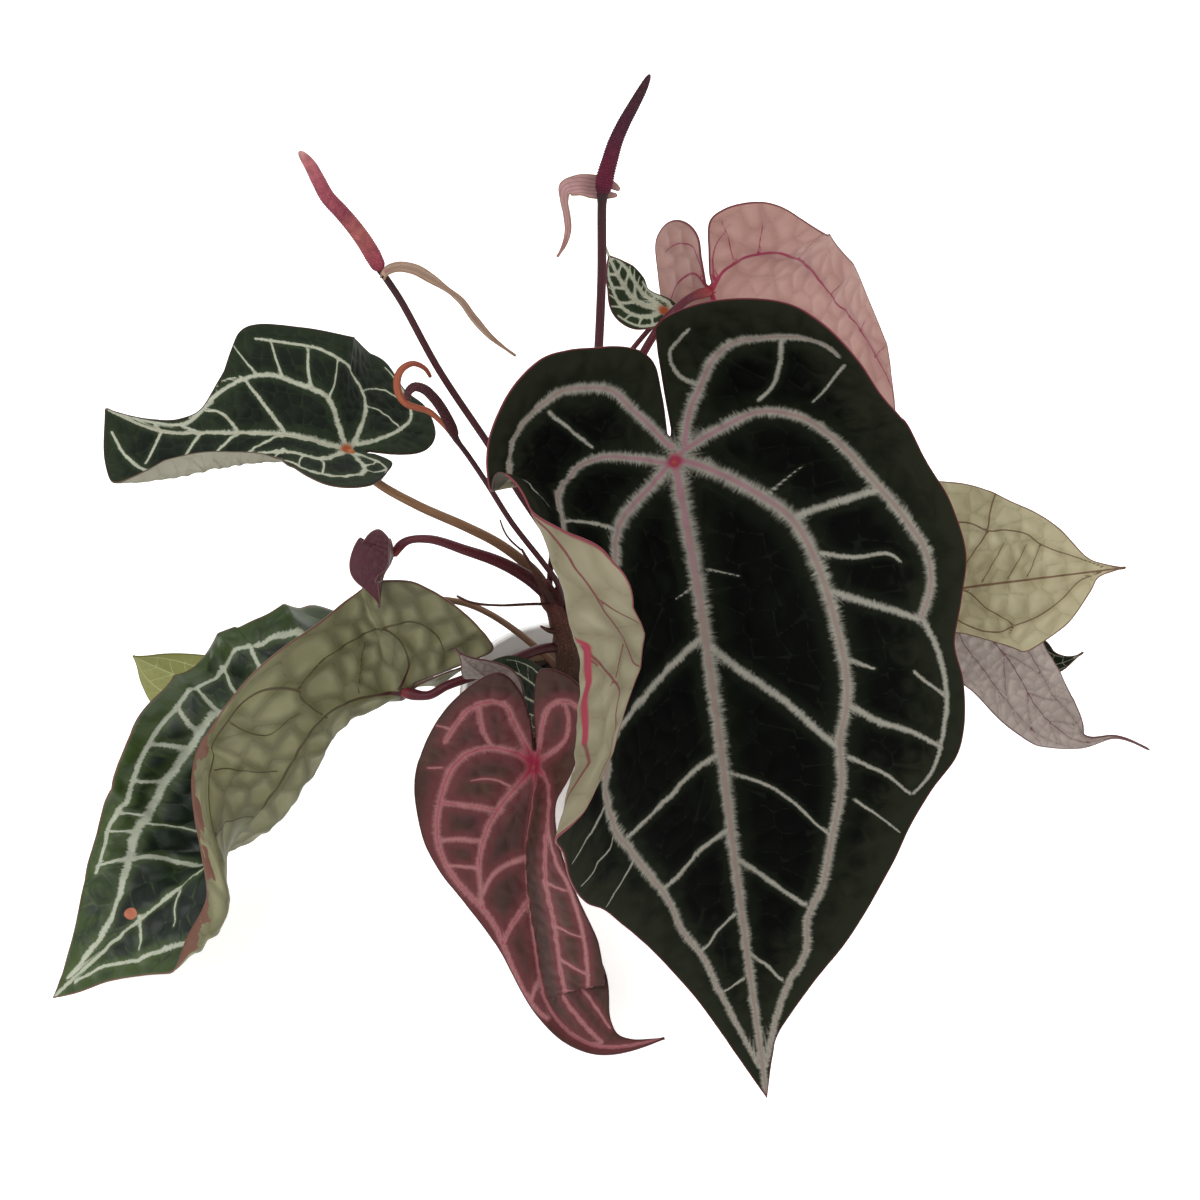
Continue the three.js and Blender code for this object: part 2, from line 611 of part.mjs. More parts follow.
        at: [[30, 44, 0], [42, 29, 100], [60, 29, 150], [110, 31, 150], [130, 37, 120]],
      },
    ],
    petiole: {
      route: [
        [-8, 0, 206], [-16, 8, 218], [-28, 9, 232], [-42, 9, 245], [-60, 9, 257], [-90, 12, 272],
        [-115, 16, 288],
      ],
      radii: [3.4, 2.6], material: TAN_SKIN,
    },
  },
  pink: {
    width: 100, thick: BLADE.large, columns: 16, rows: 5, material: PINK_BLADE,
    knots: [[82, 85, 424], [90, 75, 385], [115, 66, 335], [157, 58, 264], [205, 55, 181]],
    face: Array(5).fill([0, 0.61, -0.79]),
    right: [
      [235, 0], [190, 45], [130, 74], [80, 76], [40, 62], [13, 48], [-5, 47], [-23, 47],
      [-34, 39], [-41, 26], [-41, 12], [-34, 3], [-20, 1], [-5, 0],
    ],
    left: [
      [235, 0], [205, 40], [172, 72], [150, 90], [128, 112], [100, 121], [70, 118], [30, 100],
      [-12, 79], [-36, 59], [-46, 44], [-49, 30], [-48, 16], [-42, 6], [-24, 3], [-5, 0],
    ],
    cup: [[5, 60], [5, 62], [10, 60], [10, 50], [0, 0]],
    curl: [[10, 0], [15, 0], [20, 0], [20, 0], [0, 0]],
    petiole: {
      route: [
        [-6, 0, 203], [2, 10, 222], [14, 22, 262], [30, 36, 315], [46, 48, 352], [60, 56, 374],
        [76, 65, 386],
      ],
      radii: [3, 2.4], material: MAROON_SKIN,
    },
  },
  pale: {
    width: 60, thick: BLADE.large, columns: 12, rows: 4, material: PALE_BLADE,
    knots: [[177, 5, 190], [200, -3, 206], [250, -15, 228], [291, -25, 244], [339, -35, 261]],
    face: Array(5).fill(AWAY),
    right: [
      [153, 0], [147, 1], [136, 4], [130, 12], [116, 28], [102, 37], [87, 44], [79, 41],
      [68, 36], [56, 31], [44, 27], [20, 24], [0, 22], [-20, 18], [-25, 8], [-15, 1], [-5, 0],
    ],
    left: [
      [153, 0], [140, 4], [130, 10], [117, 28], [104, 40], [88, 50], [76, 58], [57, 66],
      [30, 70], [0, 62], [-20, 44], [-28, 20], [-18, 3], [-5, 0],
    ],
    cup: Array(5).fill([5, 5]),
    curl: Array(5).fill([0, 0]),
    petiole: {
      route: [[2, 0, 152], [20, 16, 176], [60, 28, 206], [110, 20, 228], [160, -4, 230], [190, -14, 220]],
      radii: [2.8, 2.2], material: MAROON_SKIN,
    },
  },
  grey: {
    width: 60, thick: BLADE.large, columns: 12, rows: 4, material: GREY_BLADE,
    knots: [
      [231, 25, 217], [253, 20, 187], [289, 10, 148], [327, 0, 94], [347, -3, 81], [369, -8, 90],
      [392, -12, 82],
    ],
    face: [AWAY, AWAY, AWAY, AWAY, [0.1, 0.99, -0.07], [0.2, 0.96, 0.21], [0.2, 0.96, 0.21]],
    right: [
      [194, 0], [170, 1], [158, 3], [144, 7], [135, 12], [124, 17], [108, 21], [98, 24],
      [86, 27], [64, 31], [40, 34], [0, 34], [-20, 24], [-28, 10], [-18, 1], [-5, 0],
    ],
    left: [
      [194, 0], [170, 2], [158, 3], [152, 5], [142, 11], [128, 19], [117, 25], [98, 28],
      [81, 27], [68, 26], [40, 30], [0, 30], [-20, 22], [-28, 8], [-18, 1], [-5, 0],
    ],
    cup: Array(7).fill([5, 5]),
    curl: Array(7).fill([0, 0]),
    petiole: {
      route: [[3, -1, 140], [24, 10, 156], [75, 18, 174], [150, 12, 184], [205, -2, 186], [240, 4, 188]],
      radii: [2.6, 2], material: MAROON_SKIN,
    },
  },
  small: {
    width: 20, thick: BLADE.small, columns: 8, rows: 3, material: VELVET,
    knots: [[68, 84, 362], [62, 82, 367], [46, 79, 375], [34, 74, 396], [25, 70, 424]],
    face: Array(5).fill([0, -0.61, 0.79]),
    right: [
      [60, 0], [53, 5], [42, 12], [30, 18], [18, 19], [8, 15], [-2, 11], [-11, 8],
      [-14, 4], [-12, 1], [-4, 0],
    ],
    left: [
      [60, 0], [53, 6], [43, 11], [31, 13], [20, 12], [9, 9], [-2, 8], [-10, 6], [-13, 3], [-11, 1], [-4, 0],
    ],
    cup: Array(5).fill([15, 15]),
    curl: Array(5).fill([0, 0]),
    petiole: {
      route: [[-5, 0, 186], [-9, 14, 203], [-4, 30, 240], [14, 52, 295], [38, 74, 336], [56, 83, 357]],
      radii: [2, 1.6], material: MAROON_SKIN,
    },
  },
  maroon: {
    width: 27, thick: BLADE.small, columns: 8, rows: 3, material: RED_BLADE, lobe: 2.2,
    knots: [[-104, -10, 262], [-104, -12, 250], [-110, -16, 239], [-112, -22, 230], [-113, -26, 221]],
    face: Array(5).fill([-0.5, -0.58, 0.64]),
    cup: Array(5).fill([0, 50]),
    curl: Array(5).fill([20, 20]),
    petiole: {
      route: [
        [-10, 0, 210], [-22, -3, 226], [-39, -6, 241], [-59, -8, 252], [-81, -7, 260],
        [-96, -7, 258],
      ],
      radii: [4.8, 2], material: MAROON_SKIN,
    },
  },
  curled: {
    width: 20, thick: BLADE.small, columns: 8, rows: 3, material: PALE_BLADE,
    knots: [[278, 60, 116], [288, 58, 113], [311, 50, 111], [334, 42, 110], [350, 38, 125]],
    face: Array(5).fill([0, -0.53, 0.85]),
    cup: Array(5).fill([30, 30]),
    curl: Array(5).fill([30, 30]),
    petiole: {
      route: [[4, -2, 128], [20, 16, 140], [60, 40, 150], [150, 62, 150], [240, 68, 122], [276, 64, 106]],
      radii: [2.2, 1.6], material: MAROON_SKIN,
    },
  },
  yellow: {
    width: 38, thick: BLADE.small, columns: 8, rows: 3, material: PALE_BLADE,
    knots: [[-212, 46, 74], [-224, 43, 81], [-250, 34, 99], [-271, 25, 121], [-286, 16, 142]],
    face: Array(5).fill([0, 0.96, -0.29]),
    right: [
      [92, 0], [83, 4], [70, 11], [50, 18], [27, 22], [4, 21], [-12, 15], [-18, 7], [-10, 1],
      [-3, 0],
    ],
    left: [
      [92, 0], [81, 7], [65, 20], [45, 33], [22, 38], [2, 35], [-13, 25], [-19, 11], [-12, 2],
      [-3, 0],
    ],
    cup: Array(5).fill([5, 20]),
    curl: Array(5).fill([0, 0]),
    petiole: {
      route: [[3, -1, 132], [-16, 18, 144], [-70, 58, 152], [-140, 72, 132], [-200, 48, 98]],
      radii: [2.4, 1.8], material: TAN_SKIN,
    },
  },
  front: {
    width: 26, thick: BLADE.small, columns: 8, rows: 3, material: GREY_BLADE, lobe: 0.7,
    knots: [[-5, -44, 145], [-12, -48, 156], [-31, -58, 180], [-50, -66, 204], [-64, -70, 228]],
    face: [[0, -0.34, 0.94], [0, -0.34, 0.94], [0, -0.23, 0.97], [0, 0.97, 0.23], [0.21, 0.9, -0.38]],
    cup: Array(5).fill([10, 10]),
    curl: Array(5).fill([0, 0]),
    petiole: {
      route: [[4, -2, 136], [-6, -14, 142], [-14, -33, 146]],
      radii: [2, 1.6], material: MAROON_SKIN,
    },
  },
};

function addLeaf(name, leaf, stemTool) {
  const blade = new Blade(leaf);
  add(`${name}_leaf`, blade.body(), leaf.material);
  const route = [...leaf.petiole.route, blade.junction];
  const radius = petioleRadius(routeLength(route), ...leaf.petiole.radii);
  const petiole = without(stalk(route, radius), stemTool, blade.socket());
  add(`${name}_petiole`, petiole, leaf.petiole.material);
}

// Flower stalks: a peduncle, a spadix covered in florets and a spathe
const SPADIX = { foot: 0.8, footShare: 0.12, bluntness: 12, endShare: 0.17, floret: 0.12, step: 3.4 };

function spadixRadius(thick, taper) {
  return (share) => {
    const foot = Math.min(1, lerp(SPADIX.foot, 1, share / SPADIX.footShare));
    const tip = Math.max(SPADIX.endShare, Math.sqrt(1 - share ** SPADIX.bluntness));
    return thick * foot * tip * lerp(1, taper, share);
  };
}

function floretRelief(height) {
  return (ring, side, steps) => (ring === 0 || ring === steps ? 0 : ((ring + side) % 2) * height);
}

const FLOWERS = {
  left: {
    peduncle: [
      [-3, 0, 190], [4, -2, 204], [4, -2, 222], [-5, 0, 248], [-25, 0, 289], [-42, 0, 325],
      [-69, 0, 379], [-88, 0, 426], [-97, 0, 444],
    ],
    peduncleRadii: [2.3, 2],
    spadix: [
      [-97.5, 0, 445], [-104, 0, 461], [-110, 0, 472], [-116, 0, 481], [-122.5, 0, 490],
      [-126.5, 0, 500], [-130, 0, 509], [-135, 0, 517],
    ],
    spadixRadius: 4.6,
    spadixTaper: 0.78,
  },
  middle: {
    peduncle: [
      [-2, 0, 190], [6, 12, 208], [10, 22, 232], [14, 30, 261], [21, 38, 346], [24, 40, 414],
      [24.4, 40, 468],
    ],
    peduncleRadii: [2.8, 2.6],
    spadix: [
      [24.6, 40, 469], [26, 42, 479], [28.6, 45, 488], [31.7, 48, 497.5], [36, 52, 506],
      [41, 55, 514.5], [46.5, 58, 524], [50.3, 60, 531.5],
    ],
    spadixRadius: 4.9,
    spadixTaper: 0.5,
  },
  short: {
    peduncle: [
      [-3, 0, 200], [-1, -8, 214], [-4, -9, 228], [-12, -9, 243], [-30, -10, 275], [-44, -11, 306],
      [-54, -12, 327], [-60.7, -12, 339.5],
    ],
    peduncleRadii: [1.9, 1.6],
    spadix: [
      [-61, -12, 340.5], [-64, -12, 351], [-68, -13, 362], [-72, -14, 370], [-77, -15, 376.5],
      [-82.2, -16, 378.5], [-86, -16.5, 374.5], [-85.3, -17, 369.5],
    ],
    spadixRadius: 3,
    spadixTaper: 0.85,
  },
};

const SPATHES = {
  middle: new Blade({
    width: 7, thick: BLADE.small, columns: 12, rows: 4, ribs: 0,
    knots: [
      [33, 44.5, 468], [25.3, 47.6, 468.6], [17.5, 46, 470.7], [10.3, 43, 473], [4.2, 41, 472.2],
      [3.4, 40, 466], [4.6, 39, 457.7], [5.1, 38, 448], [2.7, 37, 439], [-1.3, 36, 431.8],
    ],
    face: [
      [0.1, -0.7, 0.7], [0, -0.75, 0.66], [0, -0.75, 0.66], [-0.1, -0.75, 0.66], [-0.5, -0.8, 0.3],
      [-0.6, -0.8, 0.2], [-0.5, -0.9, 0], [-0.4, -0.9, 0], [-0.3, -0.9, 0], [-0.2, -0.9, 0],
    ],
    shape: [[1, 0], [0.9, 0.17], [0.7, 0.3], [0.5, 0.36], [0.4, 0.5], [0.32, 0.75], [0.15, 1],
      [0, 0.95], [-0.09, 0.7], [-0.14, 0.35], [-0.12, 0.1], [-0.05, 0]],
    cup: Array(10).fill([10, 10]),
    curl: Array(10).fill([20, 20]),
  }),
};
// The left and the short spathe are dry straps, rolled lengthways into a thin ribbon
const ROLLED = { end: 0.9, sides: 8, step: 6 };
const ROLLED_SPATHES = {
  left: {
    middle: 2.2,
    route: [
      [-97, -2.4, 438.5], [-94.3, -3, 445.5], [-87.3, -4.5, 449.4], [-79.2, -4.5, 448.1],
      [-70.3, -3, 441.8], [-62, -2, 434.8], [-54, -1, 427], [-47, 0, 415], [-38.4, 0, 402],
      [-24.7, 0, 388.7],
    ],
  },
  short: {
    middle: 1.9,
    route: [
      [-60.6, -11, 336.5], [-65.3, -8.5, 343], [-70, -6, 348], [-76.6, -4, 353.4],
      [-82.3, -4, 355.5], [-88.5, -4, 358.3], [-92.6, -4, 365.3], [-93, -4, 375],
      [-89.7, -4, 382.6], [-83.2, -4, 386.3], [-77, -4, 383.3], [-73.6, -4, 376.5],
    ],
  },
};

function rolledSpathe({ middle, route }) {
  const radius = (share) => lerp(ROLLED.end, middle, Math.sin(Math.PI * share));
  return stalk(route, radius, ROLLED);
}

function addFlower(name, flower, stemTool) {
  const peduncleRadius = (share) => lerp(...flower.peduncleRadii, share);
  const peduncle = without(stalk(flower.peduncle, peduncleRadius), stemTool);
  add(`${name}_peduncle`, peduncle, MAROON_SKIN);
  const relief = floretRelief(SPADIX.floret * flower.spadixRadius);
  const florets = { sides: 10, step: SPADIX.step, relief };
  const radius = spadixRadius(flower.spadixRadius, flower.spadixTaper);
  const spadix = stalk(flower.spadix, radius, florets);
  const peduncleTool = stalk(flower.peduncle, (share) => peduncleRadius(share) + GAP);
  add(`${name}_spadix`, without(spadix, peduncleTool), SPADIX_SKIN);
  const spadixTool = stalk(flower.spadix, (share) => radius(share) + GAP, florets);
  const spathe = SPATHES[name] ? SPATHES[name].body() : rolledSpathe(ROLLED_SPATHES[name]);
  add(`${name}_spathe`, without(spathe, peduncleTool, spadixTool), DRY_SPATHE);
}

// Dry sheaths on the stem and the dried threads that hang on them
const SHEATHS = {
  tall_sheath: {
    route: [[-7, -1, 205], [-10, -10, 218], [-17, -13, 238], [-25, -12, 257]],
    radii: [3.2, 0.6],
  },
  low_sheath: { route: [[-1, 0, 180], [-9, -8, 186], [-15, -11, 193]], radii: [2.8, 0.5] },
};
const THREADS = {
  long_thread: {
    route: [[-5, 0, 198], [-14, -10, 210], [-40, -18, 216], [-56, -19, 219], [-66, -19, 225]],
    radii: [0.9, 0.7],
  },
  fine_thread: { route: [[-24.4, -12, 255], [-33, -14, 268], [-37, -16, 283]], radii: [0.6, 0.45] },
};

function tapered(piece, extra = 0) {
  return stalk(piece.route, (share) => lerp(...piece.radii, share) + extra, { sides: 8, step: 7 });
}

// Assembly
add('outer_pot', makePot(), GLAZE);
add('nursery_pot', makeNurseryPot(), TERRACOTTA);
const stemTool = makeStem(GAP);
add('bark_soil', without(makeSoil(), stemTool), BARK);
add('stem', makeStem(), STEM_SKIN);
Object.entries(LEAVES).forEach(([name, leaf]) => addLeaf(name, leaf, stemTool));
Object.entries(FLOWERS).forEach(([name, flower]) => addFlower(name, flower, stemTool));
add('tall_sheath', without(tapered(SHEATHS.tall_sheath), stemTool), DRY_SHEATH);
add('low_sheath', without(tapered(SHEATHS.low_sheath), stemTool), DRY_SHEATH);
add('long_thread', without(tapered(THREADS.long_thread), stemTool), DRY_SHEATH);
add('fine_thread', without(tapered(THREADS.fine_thread), tapered(SHEATHS.tall_sheath, GAP)), DRY_SHEATH);

export default group;
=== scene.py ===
# %% [markdown]
# # A potted anthurium
# The plant is a velvet-leaved anthurium in a white glazed pot. Twelve blades hang from
# one short stem on red-brown petioles, and three old flower stalks stand above them.
# The script dresses the measured model piece by piece, in metres, with +Z up and -Y
# towards the viewer. Points of the plant are written in millimetres.

# %% Load the measured model
import math

import bmesh
import bpy
import numpy as np
from mathutils import Matrix, Vector


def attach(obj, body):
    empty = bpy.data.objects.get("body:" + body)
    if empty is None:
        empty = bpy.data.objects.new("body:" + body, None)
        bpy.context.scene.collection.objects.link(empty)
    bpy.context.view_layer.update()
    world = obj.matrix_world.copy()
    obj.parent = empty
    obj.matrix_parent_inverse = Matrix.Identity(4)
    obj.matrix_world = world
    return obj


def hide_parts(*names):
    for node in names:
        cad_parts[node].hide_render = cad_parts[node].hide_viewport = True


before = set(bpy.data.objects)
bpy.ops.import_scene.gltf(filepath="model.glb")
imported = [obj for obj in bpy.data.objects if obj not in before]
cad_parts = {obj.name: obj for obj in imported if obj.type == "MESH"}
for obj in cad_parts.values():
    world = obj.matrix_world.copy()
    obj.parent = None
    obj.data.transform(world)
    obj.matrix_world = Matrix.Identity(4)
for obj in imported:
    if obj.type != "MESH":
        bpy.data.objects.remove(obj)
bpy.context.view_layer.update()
MM = 0.001
print(f"{len(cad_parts)} measured pieces")

# %% [markdown]
# ## Camera
# The photograph looks down at the plant from in front. Its frame is square, and the
# lens is given in pixels of that frame, which is how a measured camera comes out.

# %% Camera
PHOTO_SIDE = 1200
FOCAL_PIXELS = 1893
SENSOR = 36.0
EYE = (23.1, -904.4, 990.9)
LOOKS_DOWN = 41
camera_data = bpy.data.cameras.new("camera")
camera_data.sensor_width = SENSOR
camera_data.lens = FOCAL_PIXELS / PHOTO_SIDE * SENSOR
camera_data.clip_end = 20
camera = bpy.data.objects.new("camera", camera_data)
camera.location = Vector(EYE) * MM
camera.rotation_euler = (math.radians(90 - LOOKS_DOWN), 0, 0)
bpy.context.scene.collection.objects.link(camera)
bpy.context.scene.camera = camera
print(f"lens {camera_data.lens:.1f} mm")

# %% [markdown]
# ## Helpers for materials
# Colours are written as on a paint card, in sRGB hex, and Blender computes in linear
# light, so one function turns them round. One more adds a node with its settings and
# links, which keeps a material readable from its inputs to its output.

# %% Colour and node helpers
def linear(code):
    """An sRGB hex colour as linear RGBA."""
    parts = [int(code[i:i + 2], 16) / 255 for i in (0, 2, 4)]
    return [p / 12.92 if p <= 0.04045 else ((p + 0.055) / 1.055) ** 2.4 for p in parts] + [1]


def put(tree, kind, inputs=None, stops=None, **settings):
    """Add a node. Each input gets a value, a hex colour, or a socket to link to it."""
    made = tree.nodes.new("ShaderNode" + kind)
    for name, value in settings.items():
        setattr(made, name, value)
    for name, value in (inputs or {}).items():
        if isinstance(value, bpy.types.NodeSocket):
            tree.links.new(value, made.inputs[name])
        else:
            made.inputs[name].default_value = linear(value) if isinstance(value, str) else value
    if stops:
        steps = made.color_ramp.elements
        while len(steps) < len(stops):
            steps.new(0.5)
        for step, (position, value) in zip(steps, stops):
            step.position = position
            step.color = linear(value) if isinstance(value, str) else [value] * 3 + [1]
    return made


def new_finish(name):
    """An empty node material."""
    made = bpy.data.materials.new(name)
    made.use_nodes = True
    made.node_tree.nodes.clear()
    return made, made.node_tree


# %% [markdown]
# ## Curves
# A leaf is bent along its midrib and across it. Both bends come from curves through a
# few measured points, with the same rule that shaped the solids, so a fine blade lies
# where its solid lies. NumPy works out all points of a blade at once.

# %% Curve helpers
def through(stations, values, at):
    """A smooth curve through the values, straight beyond both ends."""
    stations, values, at = (np.asarray(item, float) for item in (stations, values, at))
    gaps = np.diff(stations)
    slopes = np.diff(values, axis=0) / gaps[:, None]
    tangents = np.repeat(slopes[:1], len(values), axis=0)
    before, after = gaps[:-1, None], gaps[1:, None]
    tangents[1:-1] = (slopes[:-1] * after + slopes[1:] * before) / (before + after)
    tangents[0] = 1.5 * slopes[0] - 0.5 * tangents[1]
    tangents[-1] = 1.5 * slopes[-1] - 0.5 * tangents[-2]
    inside = np.clip(at, stations[0], stations[-1])
    i = np.clip(np.searchsorted(stations, inside, side="right") - 1, 0, len(gaps) - 1)
    t = ((inside - stations[i]) / gaps[i])[..., None]
    span = gaps[i][..., None]
    low = np.minimum(at - stations[0], 0)[..., None] * tangents[0]
    high = np.maximum(at - stations[-1], 0)[..., None] * tangents[-1]
    return (values[i] * (1 + 2 * t) * (1 - t) ** 2 + tangents[i] * span * t * (1 - t) ** 2
            + values[i + 1] * t ** 2 * (3 - 2 * t) - tangents[i + 1] * span * t ** 2 * (1 - t)
            + low + high)


def resample(points, step):
    """Points at even steps along a smooth curve through the given points."""
    points = np.asarray(points, float)
    stations = np.concatenate([[0], np.cumsum(np.linalg.norm(np.diff(points, axis=0), axis=1) ** 0.5)])
    fine = through(stations, points, np.linspace(0, stations[-1], 60 * len(points)))
    length = np.concatenate([[0], np.cumsum(np.linalg.norm(np.diff(fine, axis=0), axis=1))])
    spots = np.linspace(0, length[-1], max(2, int(round(length[-1] / step)) + 1))
    return np.stack([np.interp(spots, length, fine[:, k]) for k in range(points.shape[1])], -1)


def arc(angle, bend, length):
    """Sideways move, upward move and new angle after a walk along an arc."""
    bend = np.where(np.abs(bend) < 1e-6, 1e-6, bend)
    end = angle + bend * length
    return (np.sin(end) - np.sin(angle)) / bend, (np.cos(angle) - np.cos(end)) / bend, end


# %% [markdown]
# ## Blades
# A heart-shaped blade is thought of as flat first: along runs from the junction with
# the petiole towards the tip, and across is positive on the right half. Each blade has
# its outline there, the knots of its midrib in space, the way its upper side faces, an
# angle at the midrib (cup) and a further turn out to the margin (curl) for both halves,
# and the folds that an old heavy blade gets.

# %% An outline and a direction that several blades share
HEART = [
    [1, 0], [0.87, 0.12], [0.7, 0.5], [0.48, 0.87], [0.25, 1], [0.02, 0.93],
    [-0.16, 0.66], [-0.235, 0.3], [-0.15, 0.05], [-0.03, 0],
]
AWAY = [0, 0.75, -0.66]
print(f"a heart in {len(HEART)} points for each half")

# %% [markdown]
# ### From flat to space
# A cross section could be one arc, but an old blade is folded sharply as well. So it is
# walked outwards in three arcs: from the midrib to the fold, round the fold, and on to
# the margin. A wave may ruffle the margin of one half. The slit keeps the two lobes of a
# heart apart.

# %% The form of a blade
NO_FOLD = 1e6


class Blade:
    """A blade in flat coordinates and in space, in millimetres."""

    slit = 0.8

    def __init__(self, facts):
        self.facts = facts
        self.knots = np.array(facts["knots"], float)
        runs = np.linalg.norm(np.diff(self.knots, axis=0), axis=1)
        self.stations = np.concatenate([[0], np.cumsum(runs)]) - runs[0]
        self.length = self.stations[-1]
        self.width = facts["width"]

    def half(self, side):
        """The outline of one half from the tip to the junction, as [along, across]."""
        own = self.facts.get("right" if side > 0 else "left")
        if own:
            return np.array(own, float)
        shape = np.array(self.facts.get("shape", HEART), float)
        stretch = np.where(shape[:, 0] < 0, self.facts.get("lobe", 1), 1) * self.length
        return np.stack([shape[:, 0] * stretch, shape[:, 1] * self.width], -1)

    def edge(self, side):
        """One half's outline, finely divided, as [across, along]."""
        points = self.half(side)
        heel = (self.half(1)[-1] + self.half(-1)[-1]) / 2
        points[-1] = heel
        shares = np.linspace(0, len(points) - 1, 16 * len(points))
        curve = through(np.arange(len(points)), points, shares)[:, ::-1]
        curve[1:-1, 0] = np.maximum(curve[1:-1, 0], self.slit)
        curve[[0, -1], 0] = 0
        return curve

    def section(self, reach, along, side):
        """The cross section: sideways, upwards and angle at a distance from the midrib."""
        inside = np.clip(along, self.stations[0], self.length)
        pick = (side > 0).astype(int)
        rows = np.arange(len(along))
        cups = np.radians(through(self.stations, self.facts["cup"], inside))
        curls = np.radians(through(self.stations, self.facts["curl"], inside))[rows, pick]
        cup, bend = cups[rows, pick], curls / self.width
        distance, sweep, radius = np.full(len(along), NO_FOLD), np.zeros(len(along)), np.ones(len(along))
        for fold in self.facts.get("folds", []):
            table = np.array(fold["at"], float)
            on = (side * fold["side"]) > 0
            distance = np.where(on, np.interp(along, table[:, 0], table[:, 1]), distance)
            turns = np.radians(np.interp(along, table[:, 0], table[:, 2]))
            sweep, radius = np.where(on, turns, sweep), np.where(on, fold["radius"], radius)
        first = np.minimum(reach, distance)
        second = np.clip(reach - distance, 0, sweep * radius)
        third = np.maximum(reach - distance - sweep * radius, 0)
        x1, z1, angle = arc(cup, bend, first)
        x2, z2, angle = arc(angle, bend + 1 / radius, second)
        x3, z3, angle = arc(angle, bend, third)
        middle = reach < 1e-6
        angle = np.where(middle, (cups[:, 1] - cups[:, 0]) / 2, angle)
        return x1 + x2 + x3, z1 + z2 + z3, angle

    def place(self, across, along, lift=0.0):
        """Flat coordinates to points in space."""
        across, along = np.asarray(across, float), np.asarray(along, float)
        side = np.where(across >= 0, 1.0, -1.0)
        reach = np.abs(across)
        sideways, upwards, angle = self.section(reach, along, side)
        height = np.zeros(len(along)) + lift
        wave = self.facts.get("wave")
        if wave:
            phase = wave["count"] * along / self.length + wave["phase"]
            swing = wave["height"] * (reach / self.width) ** 2 * np.sin(2 * math.pi * phase)
            height += np.where(side == wave["side"], swing, 0)
        spot = through(self.stations, self.knots, along)
        ahead = through(self.stations, self.knots, along + 0.5)
        forward = ahead - through(self.stations, self.knots, along - 0.5)
        forward /= np.linalg.norm(forward, axis=1, keepdims=True)
        inside = np.clip(along, self.stations[0], self.length)
        normal = through(self.stations, self.facts["face"], inside)
        normal -= forward * (normal * forward).sum(1, keepdims=True)
        normal /= np.linalg.norm(normal, axis=1, keepdims=True)
        outward = np.cross(normal, forward)
        spot += outward * (side * (sideways - np.sin(angle) * height))[:, None]
        return spot + normal * (upwards + np.cos(angle) * height)[:, None]


# %% [markdown]
# ## Cutting a blade from a sheet
# A heart could be drawn as rings round the junction, but those crowd at the middle and
# leave the rim coarse. A sheet of even squares, trimmed along the outline as paper is
# cut with scissors, has the same fineness everywhere, which the veins need. The two
# halves are cut one by one and joined at the midrib, so the notch between them stays.

# %% Cut the flat halves
KEPT_RIM = 0.35


def beside(points, line):
    """For each point, the distance to a polyline, the nearest spot, its side and run."""
    start, step = line[:-1], np.diff(line, axis=0)
    long = np.maximum(np.linalg.norm(step, axis=1), 1e-9)
    share = ((points[:, None] - start) * step).sum(2) / long ** 2
    spot = start + np.clip(share, 0, 1)[..., None] * step
    gap = points[:, None] - spot
    distance = np.hypot(gap[..., 0], gap[..., 1])
    near = distance.argmin(1)
    rows = np.arange(len(points))
    gap, step = gap[rows, near], step[near]
    turn = np.sign(step[:, 0] * gap[:, 1] - step[:, 1] * gap[:, 0])
    run = np.concatenate([[0], np.cumsum(long)])[near] + np.clip(share[rows, near], 0, 1) * long[near]
    return distance[rows, near], spot[rows, near], turn, run


def within(points, loop):
    """Which points lie inside a closed outline."""
    a, b = loop, np.roll(loop, -1, axis=0)
    x, y = points[:, :1], points[:, 1:]
    spans = (a[:, 1] > y) != (b[:, 1] > y)
    rise = np.where(b[:, 1] == a[:, 1], 1e-9, b[:, 1] - a[:, 1])
    cross = x < (b[:, 0] - a[:, 0]) * (y - a[:, 1]) / rise + a[:, 0]
    return (spans & cross).sum(1) % 2 == 1


def cut_half(sheet, blade, side, spacing, low):
    """Add one flat half to the sheet: squares trimmed along its outline."""
    edge = blade.edge(side)
    columns = int(edge[:, 0].max() / spacing) + 2
    rows = int((blade.length - low) / spacing) + 1
    size = Vector((columns * spacing, rows * spacing, 1))
    middle = Matrix.Translation((size.x / 2, blade.length - size.y / 2, 0))
    place = middle @ Matrix.Diagonal(size).to_4x4()
    grid = bmesh.ops.create_grid(sheet, x_segments=columns, y_segments=rows, size=0.5, matrix=place)
    made = grid["verts"]
    points = np.array([v.co.xy for v in made])
    loop = np.vstack([edge, edge[:1]])
    distance = beside(points, loop)[0]
    outside = ~within(points, edge) & (distance > KEPT_RIM * spacing)
    bmesh.ops.delete(sheet, geom=[v for v, out in zip(made, outside) if out], context="VERTS")
    made = [v for v in made if v.is_valid]
    bare = [v for v in made if not v.link_faces]
    bmesh.ops.delete(sheet, geom=bare, context="VERTS")
    made = [v for v in made if v.is_valid]
    rim = [v for v in made if v.is_boundary]
    spots = beside(np.array([v.co.xy for v in rim]), loop)[1]
    for v, spot in zip(rim, spots):
        v.co.xy = spot
    tip = max((v for v in rim if v.co.x < 1e-6), key=lambda v: v.co.y)
    tip.co.y = blade.length
    if side < 0:
        for v in made:
            v.co.x = -v.co.x
    else:
        faces = {f for v in made for f in v.link_faces}
        bmesh.ops.reverse_faces(sheet, faces=list(faces))


